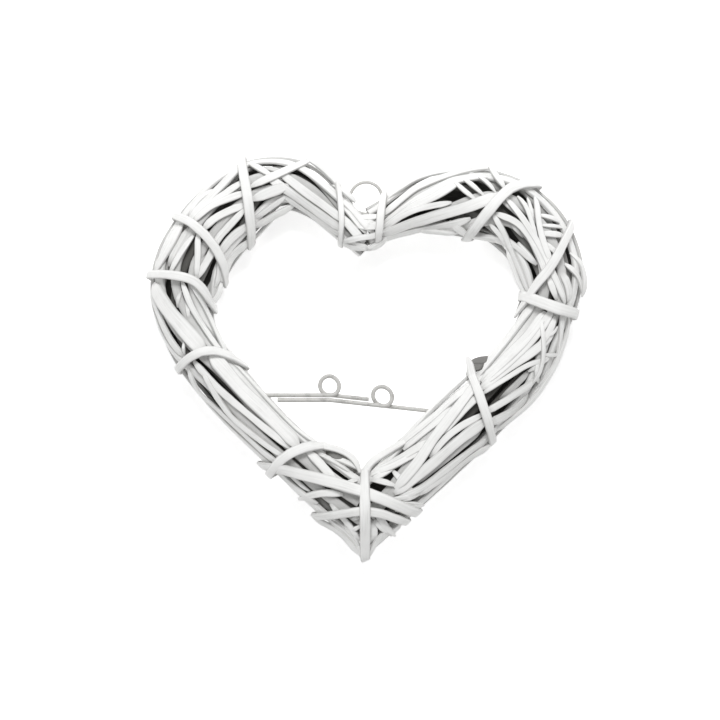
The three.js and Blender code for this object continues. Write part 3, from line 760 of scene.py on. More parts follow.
@dataclass
class Stock:
    """Straight stock one unit long, wide and thick, drawn once and copied for each strip.

    Attributes:
        name: The stock's name.
        section: Its cross-section.
        cuts: How many times it is divided along its length.
        sides: Corners of the round that wire starts as.
        round_over: How far the upper edges of split stock are rounded, as a share of its width.
        chamfer: How far its lower edges are broken.
        round_steps: Facets of a rounded edge.
    """

    name: str
    section: Section
    cuts: int
    sides: int = 14
    round_over: float = 0.34
    chamfer: float = 0.1
    round_steps: int = 4

    def draw(self) -> bpy.types.Object:
        """Models the stock along +X, with its floor at z 0.

        Returns:
            The stock's object.
        """
        bpy.ops.object.select_all(action="DESELECT")
        if self.section is Section.ROUND:
            lying = (0, math.pi / 2, 0)
            bpy.ops.mesh.primitive_cylinder_add(
                vertices=self.sides, radius=0.5, depth=1.0, location=(0.5, 0, 0), rotation=lying
            )
        else:
            bpy.ops.mesh.primitive_cube_add(size=1.0, location=(0.5, 0, 0.5))
        stock = bpy.context.active_object
        stock.name = self.name
        bpy.ops.object.transform_apply(location=True, rotation=True, scale=True)
        bpy.ops.object.mode_set(mode="EDIT")
        if self.section is Section.SPLIT:
            self._select_lengthwise(stock, 0.5, 1.1)  # the upper edges
            bpy.ops.mesh.bevel(
                offset=self.round_over, segments=self.round_steps, affect="EDGES", profile=0.5
            )
            self._select_lengthwise(stock, -0.1, 0.01)  # the lower edges
            bpy.ops.mesh.bevel(offset=self.chamfer, segments=1, affect="EDGES")
        self._select_lengthwise(stock, -1.0, 2.0)  # all of them
        bpy.ops.mesh.subdivide(number_cuts=self.cuts)
        bpy.ops.mesh.select_all(action="SELECT")
        bpy.ops.mesh.normals_make_consistent(inside=False)
        bpy.ops.object.mode_set(mode="OBJECT")
        self._unwrap(stock)
        return stock

    @staticmethod
    def _select_lengthwise(stock: bpy.types.Object, low: float, high: float) -> None:
        """Selects the edges that run the whole length between two heights, and leaves edit mode on.

        Args:
            stock: The stock, in edit mode.
            low: The lower height.
            high: The upper height.
        """
        bpy.ops.mesh.select_all(action="DESELECT")
        bpy.ops.mesh.select_mode(type="EDGE")
        bpy.ops.object.mode_set(mode="OBJECT")
        points = [v.co for v in stock.data.vertices]
        for edge in stock.data.edges:
            a, b = (points[i] for i in edge.vertices)
            edge.select = abs(a.x - b.x) > 0.5 and low < a.z < high
        bpy.ops.object.mode_set(mode="EDIT")

    @staticmethod
    def _unwrap(stock: bpy.types.Object) -> None:
        """Lays the grain's map along and round the stock, and notes how near its sides points are.

        Args:
            stock: The stock.
        """
        edge = stock.data.attributes.new("edge", "FLOAT", "POINT")
        for point, mark in zip(stock.data.vertices, edge.data):
            mark.value = 2.0 * abs(point.co.y)
        layer = stock.data.uv_layers.new(name="grain")
        for loop in stock.data.loops:
            co = stock.data.vertices[loop.vertex_index].co
            layer.data[loop.index].uv = (co.x, co.y + GRAIN_DOWN * co.z)


@dataclass
class Workshop:
    """Bends copies of the straight stock along guides and paints them.

    Attributes:
        willow: The willow's material.
        wire: The wires' material.
        bundles: The envelopes of both sides.
        chance: Source of the hand-made unevenness.
        rim: How much more the sides count than the face and the back; they get less painted shade.
        outwardness_limit: The most outwardness that is noted.
        brim: Where the face ends, as a share of the half-width; beyond it splints lie as they do there.
        level: How fast they turn level beyond it.
        crease: The angle in degrees from which an edge stays sharp.
        made: How many strips were bent so far.
    """

    willow: bpy.types.Material
    wire: bpy.types.Material
    bundles: dict[Side, Bundle]
    chance: random.Random
    rim: float = 1.35
    outwardness_limit: float = 1.2
    brim: float = 0.88
    level: float = 3.0
    crease: float = 50.0
    made: int = 0

    def __post_init__(self) -> None:
        """Draws the stock and makes the texture that knocks the strips off true."""
        self.stock = {
            "rod": Stock("rod_stock", Section.SPLIT, cuts=150, round_over=0.4).draw(),
            "splint": Stock("splint_stock", Section.SPLIT, cuts=34, round_over=0.26).draw(),
            "hoop": Stock("hoop_stock", Section.SPLIT, cuts=90, round_over=0.36).draw(),
            "wire": Stock("wire_stock", Section.ROUND, cuts=110).draw(),
        }
        self.waver = bpy.data.textures.new("split_waver", "CLOUDS")
        self.waver.noise_scale = 9 * MM
        self.waver.noise_depth = 2

    def guide(
        self, points: list[Vector], normals: list[Vector], widths: list[float], turned: Matrix
    ) -> bpy.types.Object:
        """Makes the curve that a strip is bent along, with its up side turned to the normals.

        Args:
            points: Places in millimetres from the middle of the heart.
            normals: The strip's up direction at each.
            widths: Its share of the full width at each.
            turned: The frame that the guide is drawn in, as seen from the part's.

        Returns:
            The curve object.
        """
        count = len(points)
        back = turned.inverted()
        points = [back @ (point * MM + SET_DOWN) for point in points]
        normals = [back @ normal for normal in normals]
        tilts = []
        for i, normal in enumerate(normals):
            along = (points[min(i + 1, count - 1)] - points[max(i - 1, 0)]).normalized()
            level = (UP - along * along.z).normalized()
            tilts.append(math.atan2(level.cross(normal).dot(along), level.dot(normal)))
        tilts = np.unwrap(tilts)
        data = bpy.data.curves.new("guide", "CURVE")
        data.dimensions = "3D"
        data.twist_mode = "Z_UP"
        data.use_radius = data.use_stretch = data.use_deform_bounds = True
        line = data.splines.new("POLY")
        line.points.add(count - 1)
        for knot, point, tilt, width in zip(line.points, points, tilts, widths):
            knot.co = (*point, 1.0)
            knot.tilt = tilt
            knot.radius = width
        guide = bpy.data.objects.new("guide", data)
        bpy.context.scene.collection.objects.link(guide)
        return guide

    def bend(
        self,
        name: str,
        stock: str,
        points: list[Vector],
        normals: list[Vector],
        width: float,
        thickness: float,
        widths: list[float] | None = None,
        waver: float = 0.5,
        turned: Matrix | None = None,
    ) -> bpy.types.Object:
        """Bends a copy of the stock along a guide.

        Args:
            name: The piece's name.
            stock: Which stock it is cut from.
            points: The guide's places in millimetres.
            normals: The strip's up direction at each.
            width: Full width in millimetres.
            thickness: Full thickness in millimetres.
            widths: Share of the width at each place, 1 where left out.
            waver: How far the surface is knocked off true, in millimetres.
            turned: The frame to bend it in, where the part's own won't do.

        Returns:
            The finished mesh object, at the origin.
        """
        turned = turned or Matrix.Identity(4)
        length = sum((b - a).length for a, b in zip(points, points[1:]))
        shape = self.stock[stock].data.copy()
        shape.transform(Matrix.Diagonal((length * MM, width * MM, thickness * MM, 1)))
        self._stretch_grain(shape, length, width)
        piece = bpy.data.objects.new(name, shape)
        bpy.context.scene.collection.objects.link(piece)
        guide = self.guide(points, normals, widths or [1.0] * len(points), turned)
        pick(piece)
        bend = piece.modifiers.new("bend", "CURVE")
        bend.object = guide
        bend.deform_axis = "POS_X"
        bpy.ops.object.modifier_apply(modifier="bend")
        bpy.data.objects.remove(guide)
        piece.data.transform(turned)
        if waver:
            knock = piece.modifiers.new("waver", "DISPLACE")
            knock.texture = self.waver
            knock.texture_coords = "LOCAL"
            knock.strength = waver * MM
            knock.mid_level = 0.5
            bpy.ops.object.modifier_apply(modifier="waver")
        bpy.ops.object.shade_smooth_by_angle(angle=math.radians(self.crease))
        return piece

    def _stretch_grain(self, shape: bpy.types.Mesh, length: float, width: float) -> None:
        """Gives the grain's map its size in metres, and moves it so that no two strips match.

        Args:
            shape: The strip's mesh.
            length: Its length in millimetres.
            width: Its width in millimetres.
        """
        self.made += 1
        layer = shape.uv_layers["grain"]
        uv = np.empty(len(layer.data) * 2)
        layer.data.foreach_get("uv", uv)
        uv = uv.reshape(-1, 2) * (length * MM, width * MM) + (0.0, GRAIN_SHIFT * self.made)
        layer.data.foreach_set("uv", uv.ravel())

    def skin(self, x: float, y: float) -> tuple[Vector, Vector]:
        """The envelope's face over a plan point, on the bundle that stands higher there.

        Args:
            x: Millimetres from the middle of the heart.
            y: Millimetres from the middle of the heart.

        Returns:
            The place on the face and its normal.
        """
        best: tuple[Vector, Vector] | None = None
        for bundle in self.bundles.values():
            if x * bundle.outward < -PAST_MIDDLE:
                continue
            at, offset = bundle.place(x, y)
            _, _, half, _ = bundle.frame(at)
            angle = math.asin(max(-self.brim, min(self.brim, offset / half)))
            point, normal = bundle.shell(at, angle, 0.0)
            beyond = max(0.0, abs(offset / half) - self.brim)
            normal = (normal + Vector((0, 0, self.level * beyond))).normalized()
            if best is None or point.z > best[0].z:
                best = (Vector((x, y, point.z)), normal)
        return best

    def clear(self) -> None:
        """Removes the straight stock when everything is bent."""
        for stock in self.stock.values():
            bpy.data.objects.remove(stock)

    def finish_willow(self, piece: bpy.types.Object, *nodes: str, paint: float = 1.0) -> None:
        """Paints a willow piece, notes how far out from the hollow it lies for its painted shade, and
        lets it ride on the part.

        Args:
            piece: The piece.
            nodes: CAD nodes that it stands for.
            paint: Share of its outwardness that it keeps; less gives it more painted shade.
        """
        self._note_outwardness(piece, paint)
        piece.data.materials.clear()
        piece.data.materials.append(self.willow)
        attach(piece, "root")
        if nodes:
            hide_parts(*nodes)

    def finish_wire(self, piece: bpy.types.Object, *nodes: str) -> None:
        """Paints a wire piece and lets it ride on the part.

        Args:
            piece: The piece.
            nodes: CAD nodes that it stands for.
        """
        piece.data.materials.clear()
        piece.data.materials.append(self.wire)
        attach(piece, "root")
        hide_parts(*nodes)

    def _note_outwardness(self, piece: bpy.types.Object, paint: float) -> None:
        """Writes each point's outwardness, which sets the painted shade: 1 on the envelope, less inside
        it.

        Args:
            piece: The piece.
            paint: Share of its outwardness that it keeps; less gives it more painted shade.
        """
        count = len(piece.data.vertices)
        co = np.empty(count * 3)
        piece.data.vertices.foreach_get("co", co)
        co = (co.reshape(-1, 3) - np.array(SET_DOWN)) / MM
        values = np.full(count, np.inf)
        for bundle in self.bundles.values():
            rows = bundle.rows
            away = np.hypot(co[:, None, 0] - rows[None, :, 0], co[:, None, 1] - rows[None, :, 1])
            near = np.argmin(away, axis=1)
            out = np.column_stack([bundle.tangent[near, 1], -bundle.tangent[near, 0]]) * -bundle.outward
            offset = np.einsum("ij,ij->i", co[:, :2] - rows[near, :2], out)
            wide, high = offset / rows[near, 2], co[:, 2] / rows[near, 3]
            past = co[:, 0] * bundle.outward < -PAST_MIDDLE
            value = np.where(past, np.inf, np.sqrt(self.rim * wide**2 + high**2))
            values = np.minimum(values, value)
        # the material paints shade into the hollow from these values
        attribute = piece.data.attributes.new("outwardness", "FLOAT", "POINT")
        outwardness = np.minimum(values, self.outwardness_limit) * paint
        attribute.data.foreach_set("value", outwardness.astype(np.float32))


@dataclass
class RodCage:
    """The long rods of one bundle, in the two layers that cross.

    Attributes:
        side: Which side of the heart.
        spacing: Distance between a guide's places, in millimetres.
        gap: Room that neighbours leave each other.
        stray: How far a rod wanders from its line, in millimetres.
        stray_length: Over what distance it does.
        stray_room: Room that a rod needs before it wanders.
        overrun: How far a rod may run past the heart's middle line, at the least and at the most.
        sink: How much lower the rods lie on the face, where splints lie over them.
        backing: Where the rods inside the back lie, in degrees round the bundle.
        backing_depth: How far below the envelope their crown lies.
        backing_width: Their width.
        backing_sway: How far they wander, in degrees.
        backing_length: Over what distance they do.
    """

    side: Side
    spacing: float = 4.0
    gap: float = 0.35
    stray: float = 0.5
    stray_length: float = 17.0
    stray_room: float = 0.2
    overrun: tuple[float, float] = (-1.5, 2.5)
    sink: float = 1.7
    backing: tuple[float, ...] = (104, 128, 152, 176, 200, 224, 248)
    backing_depth: float = 6.3
    backing_width: float = 6.4
    backing_sway: float = 7.0
    backing_length: float = 60.0

    def build(self, shop: Workshop) -> None:
        """Bends and paints each rod in the place of its CAD node.

        Args:
            shop: The workshop.
        """
        bundle = shop.bundles[self.side]
        at = np.arange(bundle.where["past_cleft"], bundle.where["past_point"], self.spacing).tolist()
        for layer, depth in LAYER_DEPTH.items():
            rows = RODS[(self.side, layer)]
            floor = depth + ROD_THICKNESS
            angles = {name: bundle.angles(at, row[2]) for name, row in rows.items()}
            names = list(rows)
            for k, name in enumerate(names):
                near = [angles[names[k - 1]], angles[names[(k + 1) % len(names)]]]
                points, normals, shares = [], [], []
                wide = max(rows[name][:2])
                phase = shop.chance.uniform(0, 2 * math.pi)
                past = shop.chance.uniform(*self.overrun)
                for i, s in enumerate(at):
                    angle = float(angles[name][i])
                    if bundle.shell(s, angle, floor)[0].x * bundle.outward < -past:
                        continue
                    radius = self._radius(bundle, s, angle, floor)
                    room = min(self._apart(float(other[i]), angle) / 2 for other in near) * radius
                    share = i / (len(at) - 1)
                    width = rows[name][0] * (1 - share) + rows[name][1] * share
                    width = min(width, 2 * (room - self.gap / 2))
                    sway = self.stray * math.sin(phase + s / self.stray_length) / radius
                    sway *= min(1.0, max(0.0, room * 2 - width - self.stray_room))
                    faces_up = max(0.0, math.cos(angle))
                    sunk = self.sink * faces_up * faces_up * (3 - 2 * faces_up)
                    point, normal = bundle.shell(s, angle + sway, floor + sunk)
                    points.append(point)
                    normals.append(normal)
                    shares.append(width / wide)
                node = f"{self.side.value}_{layer}_rod_{name}"
                rod = shop.bend(f"{node}_willow", "rod", points, normals, wide, ROD_THICKNESS, shares)
                shop.finish_willow(rod, node)
            LOG.info("%s %s rods: %d", self.side.value, layer, len(names))
        self._back(shop, bundle, at)

    def _back(self, shop: Workshop, bundle: Bundle, at: list[float]) -> None:
        """Lays the rods inside the back, which close it to the light.

        Args:
            shop: The workshop.
            bundle: The envelope.
            at: Distances along it.
        """
        made = []
        floor = self.backing_depth + ROD_THICKNESS
        for k, middle in enumerate(self.backing):
            points, normals = [], []
            for s in at:
                sway = self.backing_sway * math.sin(s / self.backing_length + k)
                point, normal = bundle.shell(s, math.radians(middle + sway), floor)
                if point.x * bundle.outward > PAST_MIDDLE:
                    points.append(point)
                    normals.append(normal)
            name = f"{self.side.value}_back_rod_{k}"
            made.append(shop.bend(name, "rod", points, normals, self.backing_width, ROD_THICKNESS))
        shop.finish_willow(joined(f"{self.side.value}_back_rods", made))
        LOG.info("%s back rods: %d", self.side.value, len(made))

    @staticmethod
    def _radius(bundle: Bundle, at: float, angle: float, depth: float) -> float:
        """How far the shell at a depth runs for each radian.

        Args:
            bundle: The envelope.
            at: Distance along it, in millimetres.
            angle: Angle round it, in radians.
            depth: Millimetres below it.

        Returns:
            Millimetres for each radian.
        """
        _, _, half, deep = bundle.frame(at)
        return math.hypot((half - depth) * math.cos(angle), (deep - depth) * math.sin(angle))

    @staticmethod
    def _apart(a: float, b: float) -> float:
        """The lesser angle between two directions, in radians."""
        apart = abs(a - b) % (2 * math.pi)
        return min(apart, 2 * math.pi - apart)


@dataclass
class Splints:
    """The short splints of one region, tucked in between the rods and under the bindings.

    Attributes:
        region: The region's name in the table, and the piece's.
        thickness: A splint's thickness in millimetres.
        narrow: Share of its place that it fills, which leaves a line of shade beside it.
        spacing: Distance between a guide's places.
        least_steps: The fewest steps of a guide.
        tuck: How far the ends dip under what lies over them.
        tuck_reach: How long an end's dip is.
        point: Width left at an end, as a share.
        point_places: Places along the guide over which it narrows to that.
        uneven: How much higher or lower a splint may lie.
        swell: How much its width varies, as a share, how fast along it and how far from one to the next.
    """

    region: str
    thickness: float = 1.5
    narrow: float = 0.86
    spacing: float = 3.0
    least_steps: int = 4
    tuck: float = 0.9
    tuck_reach: float = 7.0
    point: float = 0.4
    point_places: float = 1.5
    uneven: float = 0.15
    swell: tuple[float, float, float] = (0.05, 0.6, 2.1)

    def build(self, shop: Workshop) -> None:
        """Bends the region's splints and joins them into one piece.

        Args:
            shop: The workshop.
        """
        made = []
        swell, fast, shift = self.swell
        for k, (lift, width, *run) in enumerate(SPLINTS[self.region]):
            points, normals = self._path(shop, run, lift, shop.chance.uniform(-self.uneven, self.uneven))
            last = len(points) - 1
            shares = []
            for i in range(last + 1):
                end = self.point + (1.0 - self.point) * min(i, last - i) / self.point_places
                shares.append(min(1.0, end) * (1.0 + swell * math.sin(fast * i + shift * k)))
            width *= self.narrow
            name = f"{self.region}_{k}"
            made.append(shop.bend(name, "splint", points, normals, width, self.thickness, shares))
        shop.finish_willow(joined(self.region, made), paint=PAINTED_SHADE_SHARES.get(self.region, 1.0))
        LOG.info("%s: %d", self.region, len(made))

    def _path(
        self, shop: Workshop, corners: list[float], lift: float, uneven: float
    ) -> tuple[list[Vector], list[Vector]]:
        """Lays a plan line on the face of the bundles.

        Args:
            shop: The workshop.
            corners: x and y of each of the line's corners, as seen from above.
            lift: How far the crown lies above the envelope.
            uneven: A little more or less of it.

        Returns:
            The places of the strip's floor, and its up directions.
        """
        line = np.array(corners, float).reshape(-1, 2)
        run = distances(line)
        steps = max(self.least_steps, int(round(run[-1] / self.spacing)))
        at = np.linspace(0.0, run[-1], steps + 1)
        plan = rounded(np.column_stack([np.interp(at, run, column) for column in line.T]))
        skins = [shop.skin(x, y) for x, y in plan]
        heights = rounded(np.array([[point.z] for point, _ in skins]))
        ups = rounded(np.array([list(normal) for _, normal in skins]))
        points, normals = [], []
        for k, s in enumerate(at):
            normal = Vector(ups[k]).normalized()
            end = min(s, run[-1] - s)
            dip = self.tuck * max(0.0, 1.0 - end / self.tuck_reach) ** 2
            place = Vector((plan[k][0], plan[k][1], float(heights[k][0])))
            points.append(place + normal * (lift + uneven - self.thickness - dip))
            normals.append(normal)
        return points, normals


@dataclass
class Binding:
    """A flat strip of willow drawn tight round a bundle, or round both at the point.

    Attributes:
        place: Where it sits; its CAD node is named for it.
        sides: The bundles that it holds.
        width: Its width in millimetres.
        face: Where it runs over the face from edge to edge: x and y of its corners, seen from above.
        lift: How far it lies off the rods' envelope.
        face_lift: How much further it lies off it on the face, over the splints.
        back_lift: How far it lies off the envelope on the back.
        thickness: Its thickness.
        steps: Places along its face, and along its back.
        reach: How far its face is run on to find the edges.
        fine: Distance between the places among which the edges are found.
        bends: How often the corners of its face are rounded.
        swell: How much its width varies, as a share, and over how many places.
        waver: How uneven its surface is.
        taper: Where the rods under it run out: y, and its height on the face and on the back.
        taper_bends: How often its run is rounded there.
    """

    place: str
    sides: tuple[Side, ...]
    width: float
    face: tuple[float, ...]
    lift: float = 0.4
    face_lift: float = 1.3
    back_lift: float = 0.4
    thickness: float = 1.8
    steps: int = 36
    reach: float = 12.0
    fine: float = 0.5
    bends: int = 40
    swell: tuple[float, float] = (0.06, 5.0)
    waver: float = 0.6
    taper: tuple[tuple[float, float, float], ...] = ()
    taper_bends: int = 3

    def build(self, shop: Workshop) -> None:
        """Bends the strip round the envelope and paints it.

        Args:
            shop: The workshop.
        """
        over = self._over(shop)
        across = Vector((*(over[-1] - over[0]), 0.0)).normalized()
        turned = Matrix((across, UP, across.cross(UP))).transposed().to_4x4()
        face, back = [], []
        for k in range(self.steps + 1):
            share = (1 - math.cos(math.pi * k / self.steps)) / 2
            at = share * (len(over) - 1)
            low = min(int(at), len(over) - 2)
            plan = over[low] + (over[low + 1] - over[low]) * (at - low)
            face.append(self._hug(shop, plan, 1))
            plan = over[-1] + (over[0] - over[-1]) * share
            back.append(self._hug(shop, plan, -1))
        half = self.steps // 2
        places = back[half:-1] + face + back[1 : half + 1]
        rows = np.array([(*point, *normal) for point, normal in places])
        rows = rounded(rows, self.taper_bends) if self.taper else rows
        points = [Vector(row[:3]) for row in rows]
        normals = [Vector(row[3:]).normalized() for row in rows]
        swell, slow = self.swell
        shares = [1.0 + swell * math.sin(k / slow + shop.chance.uniform(0, 1)) for k in range(len(rows))]
        node = f"{self.place}_binding"
        size = (self.width, self.thickness)
        hoop = shop.bend(f"{node}_willow", "hoop", points, normals, *size, shares, self.waver, turned)
        shop.finish_willow(hoop, node)
        LOG.info("%s binding", self.place)

    def _over(self, shop: Workshop) -> list[np.ndarray]:
        """Runs the face's line on both ways and cuts it off at the envelope's edges.

        Args:
            shop: The workshop.

        Returns:
            Places as seen from above, evenly apart.
        """
        line = np.array(self.face, float).reshape(-1, 2)
        first, last = line[0] - line[1], line[-1] - line[-2]
        first = line[0] + first / np.linalg.norm(first) * self.reach
        last = line[-1] + last / np.linalg.norm(last) * self.reach
        line = np.vstack([first, line, last])
        run = distances(line)
        at = np.arange(0.0, run[-1], self.fine)
        plan = rounded(np.column_stack([np.interp(at, run, column) for column in line.T]), self.bends)
        bundles = [shop.bundles[side] for side in self.sides]
        held = [any(b.inside(Vector((x, y, 0)), self.lift) for b in bundles) for x, y in plan]
        low = high = len(plan) // 2
        while low > 0 and held[low - 1]:
            low -= 1
        while high < len(plan) - 1 and held[high + 1]:
            high += 1
        return list(plan[low : high + 1])

    def _hug(self, shop: Workshop, plan: np.ndarray, facing: int) -> tuple[Vector, Vector]:
        """The strip's floor over or under a plan point.

        Args:
            shop: The workshop.
            plan: The place as seen from above.
            facing: 1 over the face, -1 under the back.

        Returns:
            The place and its outward direction.
        """
        best: tuple[Vector, Vector] | None = None
        x, y = float(plan[0]), float(plan[1])
        grow = self.lift + (self.face_lift if facing > 0 else self.back_lift - self.lift)
        for side in self.sides:
            bundle = shop.bundles[side]
            if x * bundle.outward < -PAST_MIDDLE:
                continue
            at, offset = bundle.place(x, y)
            _, out, half, deep = bundle.frame(at)
            half, deep = half + self.lift, deep + grow
            height = deep * math.sqrt(max(0.0, 1.0 - (offset / half) ** 2))
            if best is None or height > abs(best[0].z):
                normal = out * (offset / half**2) + Vector((0, 0, facing * height / deep**2))
                best = (Vector((x, y, facing * height)), normal.normalized())
        if self.taper and y < self.taper[0][0]:
            best = self._down_the_taper(best, facing)
        return best

    def _down_the_taper(self, place: tuple[Vector, Vector], facing: int) -> tuple[Vector, Vector]:
        """Lowers a place to where the rods run out.

        Args:
            place: The place on the envelope and its outward direction.
            facing: 1 over the face, -1 under the back.

        Returns:
            The place and its outward direction.
        """
        spots, face, back = (np.array(column)[::-1] for column in zip(*self.taper))
        heights = face if facing > 0 else back
        point, normal = place
        here, further = (float(np.interp(point.y - s, spots, heights)) for s in (0.0, self.fine))
        if here < abs(point.z):
            point.z = facing * here
            normal = Vector((0, -(here - further) / self.fine, facing)).normalized()
        return point, normal


# The bindings, from the cleft down each side to the point.
LEFT, RIGHT, BOTH = (Side.LEFT,), (Side.RIGHT,), (Side.LEFT, Side.RIGHT)
BINDINGS: list[Binding] = [
    Binding("cleft_left", LEFT, 3.2, (-16, 97.5, -14, 86.5, -13, 76.5, -13.5, 64.5)),
    Binding("cleft_right", RIGHT, 4.2, (11, 92, 9, 82, 8, 74, 6.5, 64)),
    Binding("lobe_left", LEFT, 5.4, (-70.5, 116.5, -68, 102, -66, 91.5, -65, 81, -64.5, 71, -66, 61)),
    Binding(
        "shoulder_left", LEFT, 5,
        (-107.5, 80.5, -98, 76.5, -89.5, 69, -83.5, 61, -80, 52.5, -79.5, 45, -80.5, 39),
    ),
    Binding("side_left", LEFT, 5, (-125.5, 47.5, -112, 47, -101, 45.5, -95, 43, -91, 38, -88, 31.5)),
    Binding(
        "flank_left", LEFT, 5,
        (-107, -7.5, -100, -0.5, -92, 4, -84, 4, -76, 0.5, -68, -5, -62, -12, -58.5, -18),
    ),
    Binding(
        "foot_left", LEFT, 5.4,
        (-52.5, -63.5, -48.5, -58, -41.5, -53, -32.5, -50, -23, -50, -12.5, -52, -6.5, -55.5,
        -3, -61.5),
        lift=1.6, face_lift=0.1,
    ),
    Binding("lobe_right", RIGHT, 5.8, (98, 98, 89.5, 98, 81.5, 95.5, 74.5, 89, 65.5, 78, 56.5, 66.5)),
    Binding(
        "side_right", RIGHT, 5,
        (118.5, 79, 114.5, 70.5, 111, 64, 107, 56, 101.5, 47.5, 97, 42, 93, 35),
    ),
    Binding("waist_right", RIGHT, 6.4, (89.5, 35.5, 98.5, 31.5, 107, 28, 117.5, 25.5), face_lift=2.2),
    Binding("flank_right", RIGHT, 5, (58.5, -1, 61.5, -12, 65, -23, 68.5, -34, 72.5, -48)),
    Binding(
        "point_upper", BOTH, 6.4,
        (-58.5, -61, -46.5, -62.5, -36.5, -65, -19.5, -69.5, -3, -75, 11, -79.5, 25.5, -86),
        lift=0.6,
    ),
    Binding("point_lower", BOTH, 5, (-29.5, -90, -17, -88, -3, -86, 8.5, -87, 22.5, -92.5)),
    Binding(
        "point_end", BOTH, 5.8,
        (0.5, -59.5, 0, -74.5, 0, -96.5, 0, -115.5),
        lift=0.3, face_lift=3.7, back_lift=2.4, taper=((-89.5, 17.5, 16.0), (-94, 15.2, 15.6),
        (-104, 10.2, 9.9), (-112, 6.1, 2.6), (-114.5, 4.0, 1.2), (-116, 0.0, 0.0)),
    ),
]


@dataclass
class Wires:
    """The hanging ring and the two wires of the crossbar.

    Attributes:
        ring_radius: To the middle of the ring's wire, in millimetres.
        ring_wire: The ring's wire.
        ring_facets: Round the ring's wire, and along it.
        merge: How near two points of the ring lie that are made one.
        bar_wire: The crossbar's wire.
        bar_waver: How uneven its surface is.
        eye_radius: To the middle of an eyelet's wire.
        eye_rise: How far above and below the middle an eyelet's two ends lie.
        steps: Places along a wire's long run, its eyelet and its free end.
        bar_y: Where the wires cross the heart's middle line.
        bar_slope: Their slope.
        bar_level: Left of this the bar runs level.
        bars: Each wire's node; along the bar its start in the bundle, the middle of its eyelet and its
            free end; how far it lies to the side; and 1 where it starts above the middle, or -1.
    """

    ring_radius: float = 9.1
    ring_wire: float = 1.9
    ring_facets: tuple[int, int] = (14, 72)
    merge: float = 0.01
    bar_wire: float = 2.4
    bar_waver: float = 0.15
    eye_radius: float = 5.5
    eye_rise: float = 1.5
    steps: tuple[int, int, int] = (30, 36, 20)
    bar_y: float = -26.0
    bar_slope: float = -0.11
    bar_level: float = -20.0
    bars: tuple[tuple[str, float, float, float, float, int], ...] = (
        ("crossbar_wire_left", -64, -20.3, 2.2, 2.6, 1),
        ("crossbar_wire_right", 48, 10, -50, -0.2, -1),
    )

    def build(self, shop: Workshop) -> None:
        """Builds the three wires.

        Args:
            shop: The workshop.
        """
        self._ring(shop)
        for bar in self.bars:
            self._bar(shop, *bar)
        LOG.info("wires: %d", 1 + len(self.bars))

    def _ring(self, shop: Workshop) -> None:
        """Spins a round section into the hanging ring.

        Args:
            shop: The workshop.
        """
        middle = Vector((*RING_MIDDLE, 0)) * MM + SET_DOWN
        bpy.ops.object.select_all(action="DESELECT")
        bpy.ops.mesh.primitive_circle_add(
            vertices=self.ring_facets[0],
            radius=self.ring_wire / 2 * MM,
            location=middle + Vector((self.ring_radius * MM, 0, 0)),
            rotation=(math.pi / 2, 0, 0),
        )
        ring = bpy.context.active_object
        ring.name = "hanging_ring_wire"
        bpy.ops.object.transform_apply(location=True, rotation=True, scale=True)
        bpy.ops.object.mode_set(mode="EDIT")
        bpy.ops.mesh.select_all(action="SELECT")
        bpy.ops.mesh.spin(steps=self.ring_facets[1], angle=2 * math.pi, center=middle, axis=UP)
        bpy.ops.mesh.select_all(action="SELECT")
        bpy.ops.mesh.remove_doubles(threshold=self.merge * MM)
        bpy.ops.mesh.normals_make_consistent(inside=False)
        bpy.ops.object.mode_set(mode="OBJECT")
        pick(ring)
        bpy.ops.object.shade_smooth()
        shop.finish_wire(ring, "hanging_ring")

    def _bar(
        self, shop: Workshop, node: str, start: float, eye: float, end: float, aside: float, rise: int
    ) -> None:
        """Bends one wire of the crossbar, with its eyelet.

        Args:
            shop: The workshop.
            node: The CAD node that it stands for.
            start: Where it starts in its bundle, along the bar.
            eye: The middle of its eyelet.
            end: Its free end.
            aside: How far it lies to the side.
            rise: 1 where it starts above the middle, -1 below.
        """
        run, turns, tail = self.steps
        round_to = math.copysign(1, end - start)
        high = rise * self.eye_rise
        flat = [(start + (eye - start) * (k / run), aside, high) for k in range(run)]
        for k in range(turns + 1):
            turn = 2 * math.pi * k / turns
            x = eye + round_to * self.eye_radius * math.sin(turn)
            flat.append((x, aside + self.eye_radius * (1 - math.cos(turn)), high * (1 - 2 * k / turns)))
        flat += [(eye + (end - eye) * (k / tail), aside, -high) for k in range(1, tail + 1)]
        points = []
        for place in map(Vector, flat):
            slant = self.bar_slope * max(place.x, self.bar_level)
            points.append(Vector((place.x, place.y + self.bar_y + slant, place.z)))
        ups = [UP] * len(points)
        size = self.bar_wire
        wire = shop.bend(f"{node}_painted", "wire", points, ups, size, size, waver=self.bar_waver)
        shop.finish_wire(wire, node)


@dataclass(frozen=True)
class StudioFloor:
    """A plain pale sweep of matt paper.

    Attributes:
        tone: Its colour.
        glow: How much light it gives back by itself, which keeps it near white.
    """

    tone: str = "ffffff"
    glow: float = 0.45

    def material(self) -> bpy.types.Material:
        """Builds the material.

        Returns:
            The material.
        """
        settings = {
            "Base Color": linear(self.tone),
            "Roughness": 0.95,
            "Specular IOR Level": 0.0,
            "Emission Color": linear(self.tone),
            "Emission Strength": self.glow,
        }
        return new_material("matt_white_paper", settings)[0]


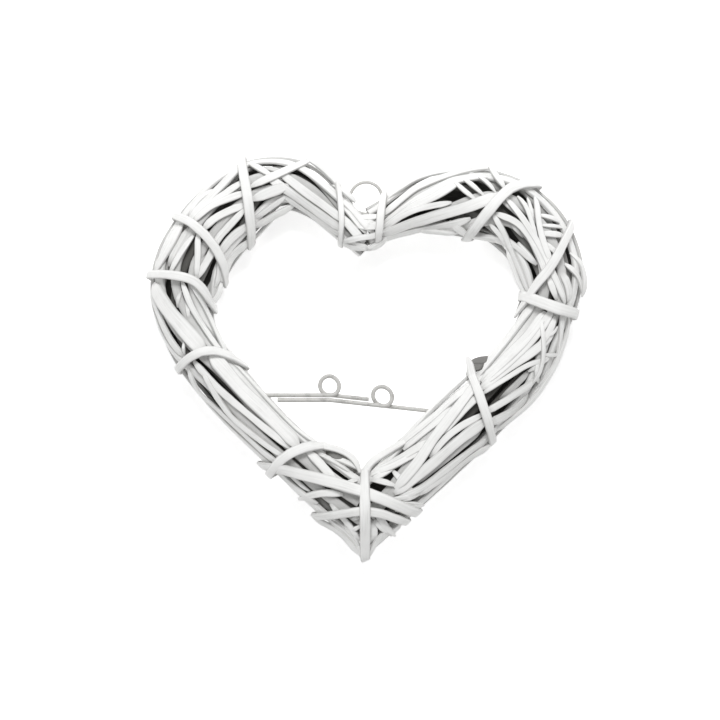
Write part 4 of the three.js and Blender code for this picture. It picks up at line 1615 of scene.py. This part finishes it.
@dataclass
class Studio:
    """The floor, the lights and the camera.

    Attributes:
        camera_place: Over the heart, in metres in the row frame.
        lens: Focal length in millimetres.
        sensor: Width of the sensor in millimetres.
        lights: Each light's name, place and side in metres, and power in watts.
        daylight: Strength of the even light from all round.
        floor_side: Side of the floor in metres.
    """

    camera_place: tuple[float, float, float] = (-0.0026, 0.0004, 0.918)
    lens: float = 78.7
    sensor: float = 36.0
    lights: tuple[tuple[str, tuple[float, float, float], float, float], ...] = (
        ("key", (0.0, 0.6, 0.85), 0.35, 6.5),
        ("fill", (-0.6, -0.3, 0.9), 1.2, 1.0),
    )
    daylight: float = 0.48
    floor_side: float = 8.0

    def build(self) -> None:
        """Sets up the floor, the lights and the camera."""
        self._floor()
        bpy.context.scene.view_settings.view_transform = "Standard"
        for light in self.lights:
            self._light(*light)
        world = bpy.data.worlds.new("studio")
        bpy.context.scene.world = world
        world.use_nodes = True
        sky = world.node_tree.nodes["Background"]
        sky.inputs["Color"].default_value = (1, 1, 1, 1)
        sky.inputs["Strength"].default_value = self.daylight
        camera = bpy.data.objects.new("camera", bpy.data.cameras.new("camera"))
        bpy.context.scene.collection.objects.link(camera)
        camera.data.sensor_width = self.sensor
        camera.data.lens = self.lens
        camera.data.clip_start = 0.01
        camera.location = self.camera_place
        bpy.context.scene.camera = camera
        LOG.info("studio ready")

    def _floor(self) -> None:
        """Lays the floor under the heart."""
        bpy.ops.object.select_all(action="DESELECT")
        bpy.ops.mesh.primitive_plane_add(size=self.floor_side, location=(0, 0, 0))
        floor = bpy.context.active_object
        floor.name = "floor"
        floor.data.materials.append(StudioFloor().material())

    def _light(self, name: str, place: tuple[float, float, float], size: float, power: float) -> None:
        """Hangs a soft square light that faces the heart.

        Args:
            name: The light's name.
            place: Where it hangs, in metres.
            size: Its side in metres.
            power: Its power in watts.
        """
        data = bpy.data.lights.new(name, "AREA")
        data.size = size
        data.energy = power
        light = bpy.data.objects.new(name, data)
        bpy.context.scene.collection.objects.link(light)
        light.location = place
        light.rotation_euler = (-Vector(place)).to_track_quat("-Z", "Y").to_euler()


def main() -> None:
    """Builds the heart and its studio."""
    logging.basicConfig(level=logging.INFO, format="%(name)s: %(message)s")
    bundles = {side: Bundle(side) for side in Side}
    shop = Workshop(
        PaintedWillow().material(), PaintedWire().material(), bundles, random.Random(SEED)
    )
    for side in Side:
        RodCage(side).build(shop)
    for region in SPLINTS:
        Splints(region).build(shop)
    for binding in BINDINGS:
        binding.build(shop)
    Wires().build(shop)
    shop.clear()
    Studio().build()


if __name__ == "__main__":
    main()
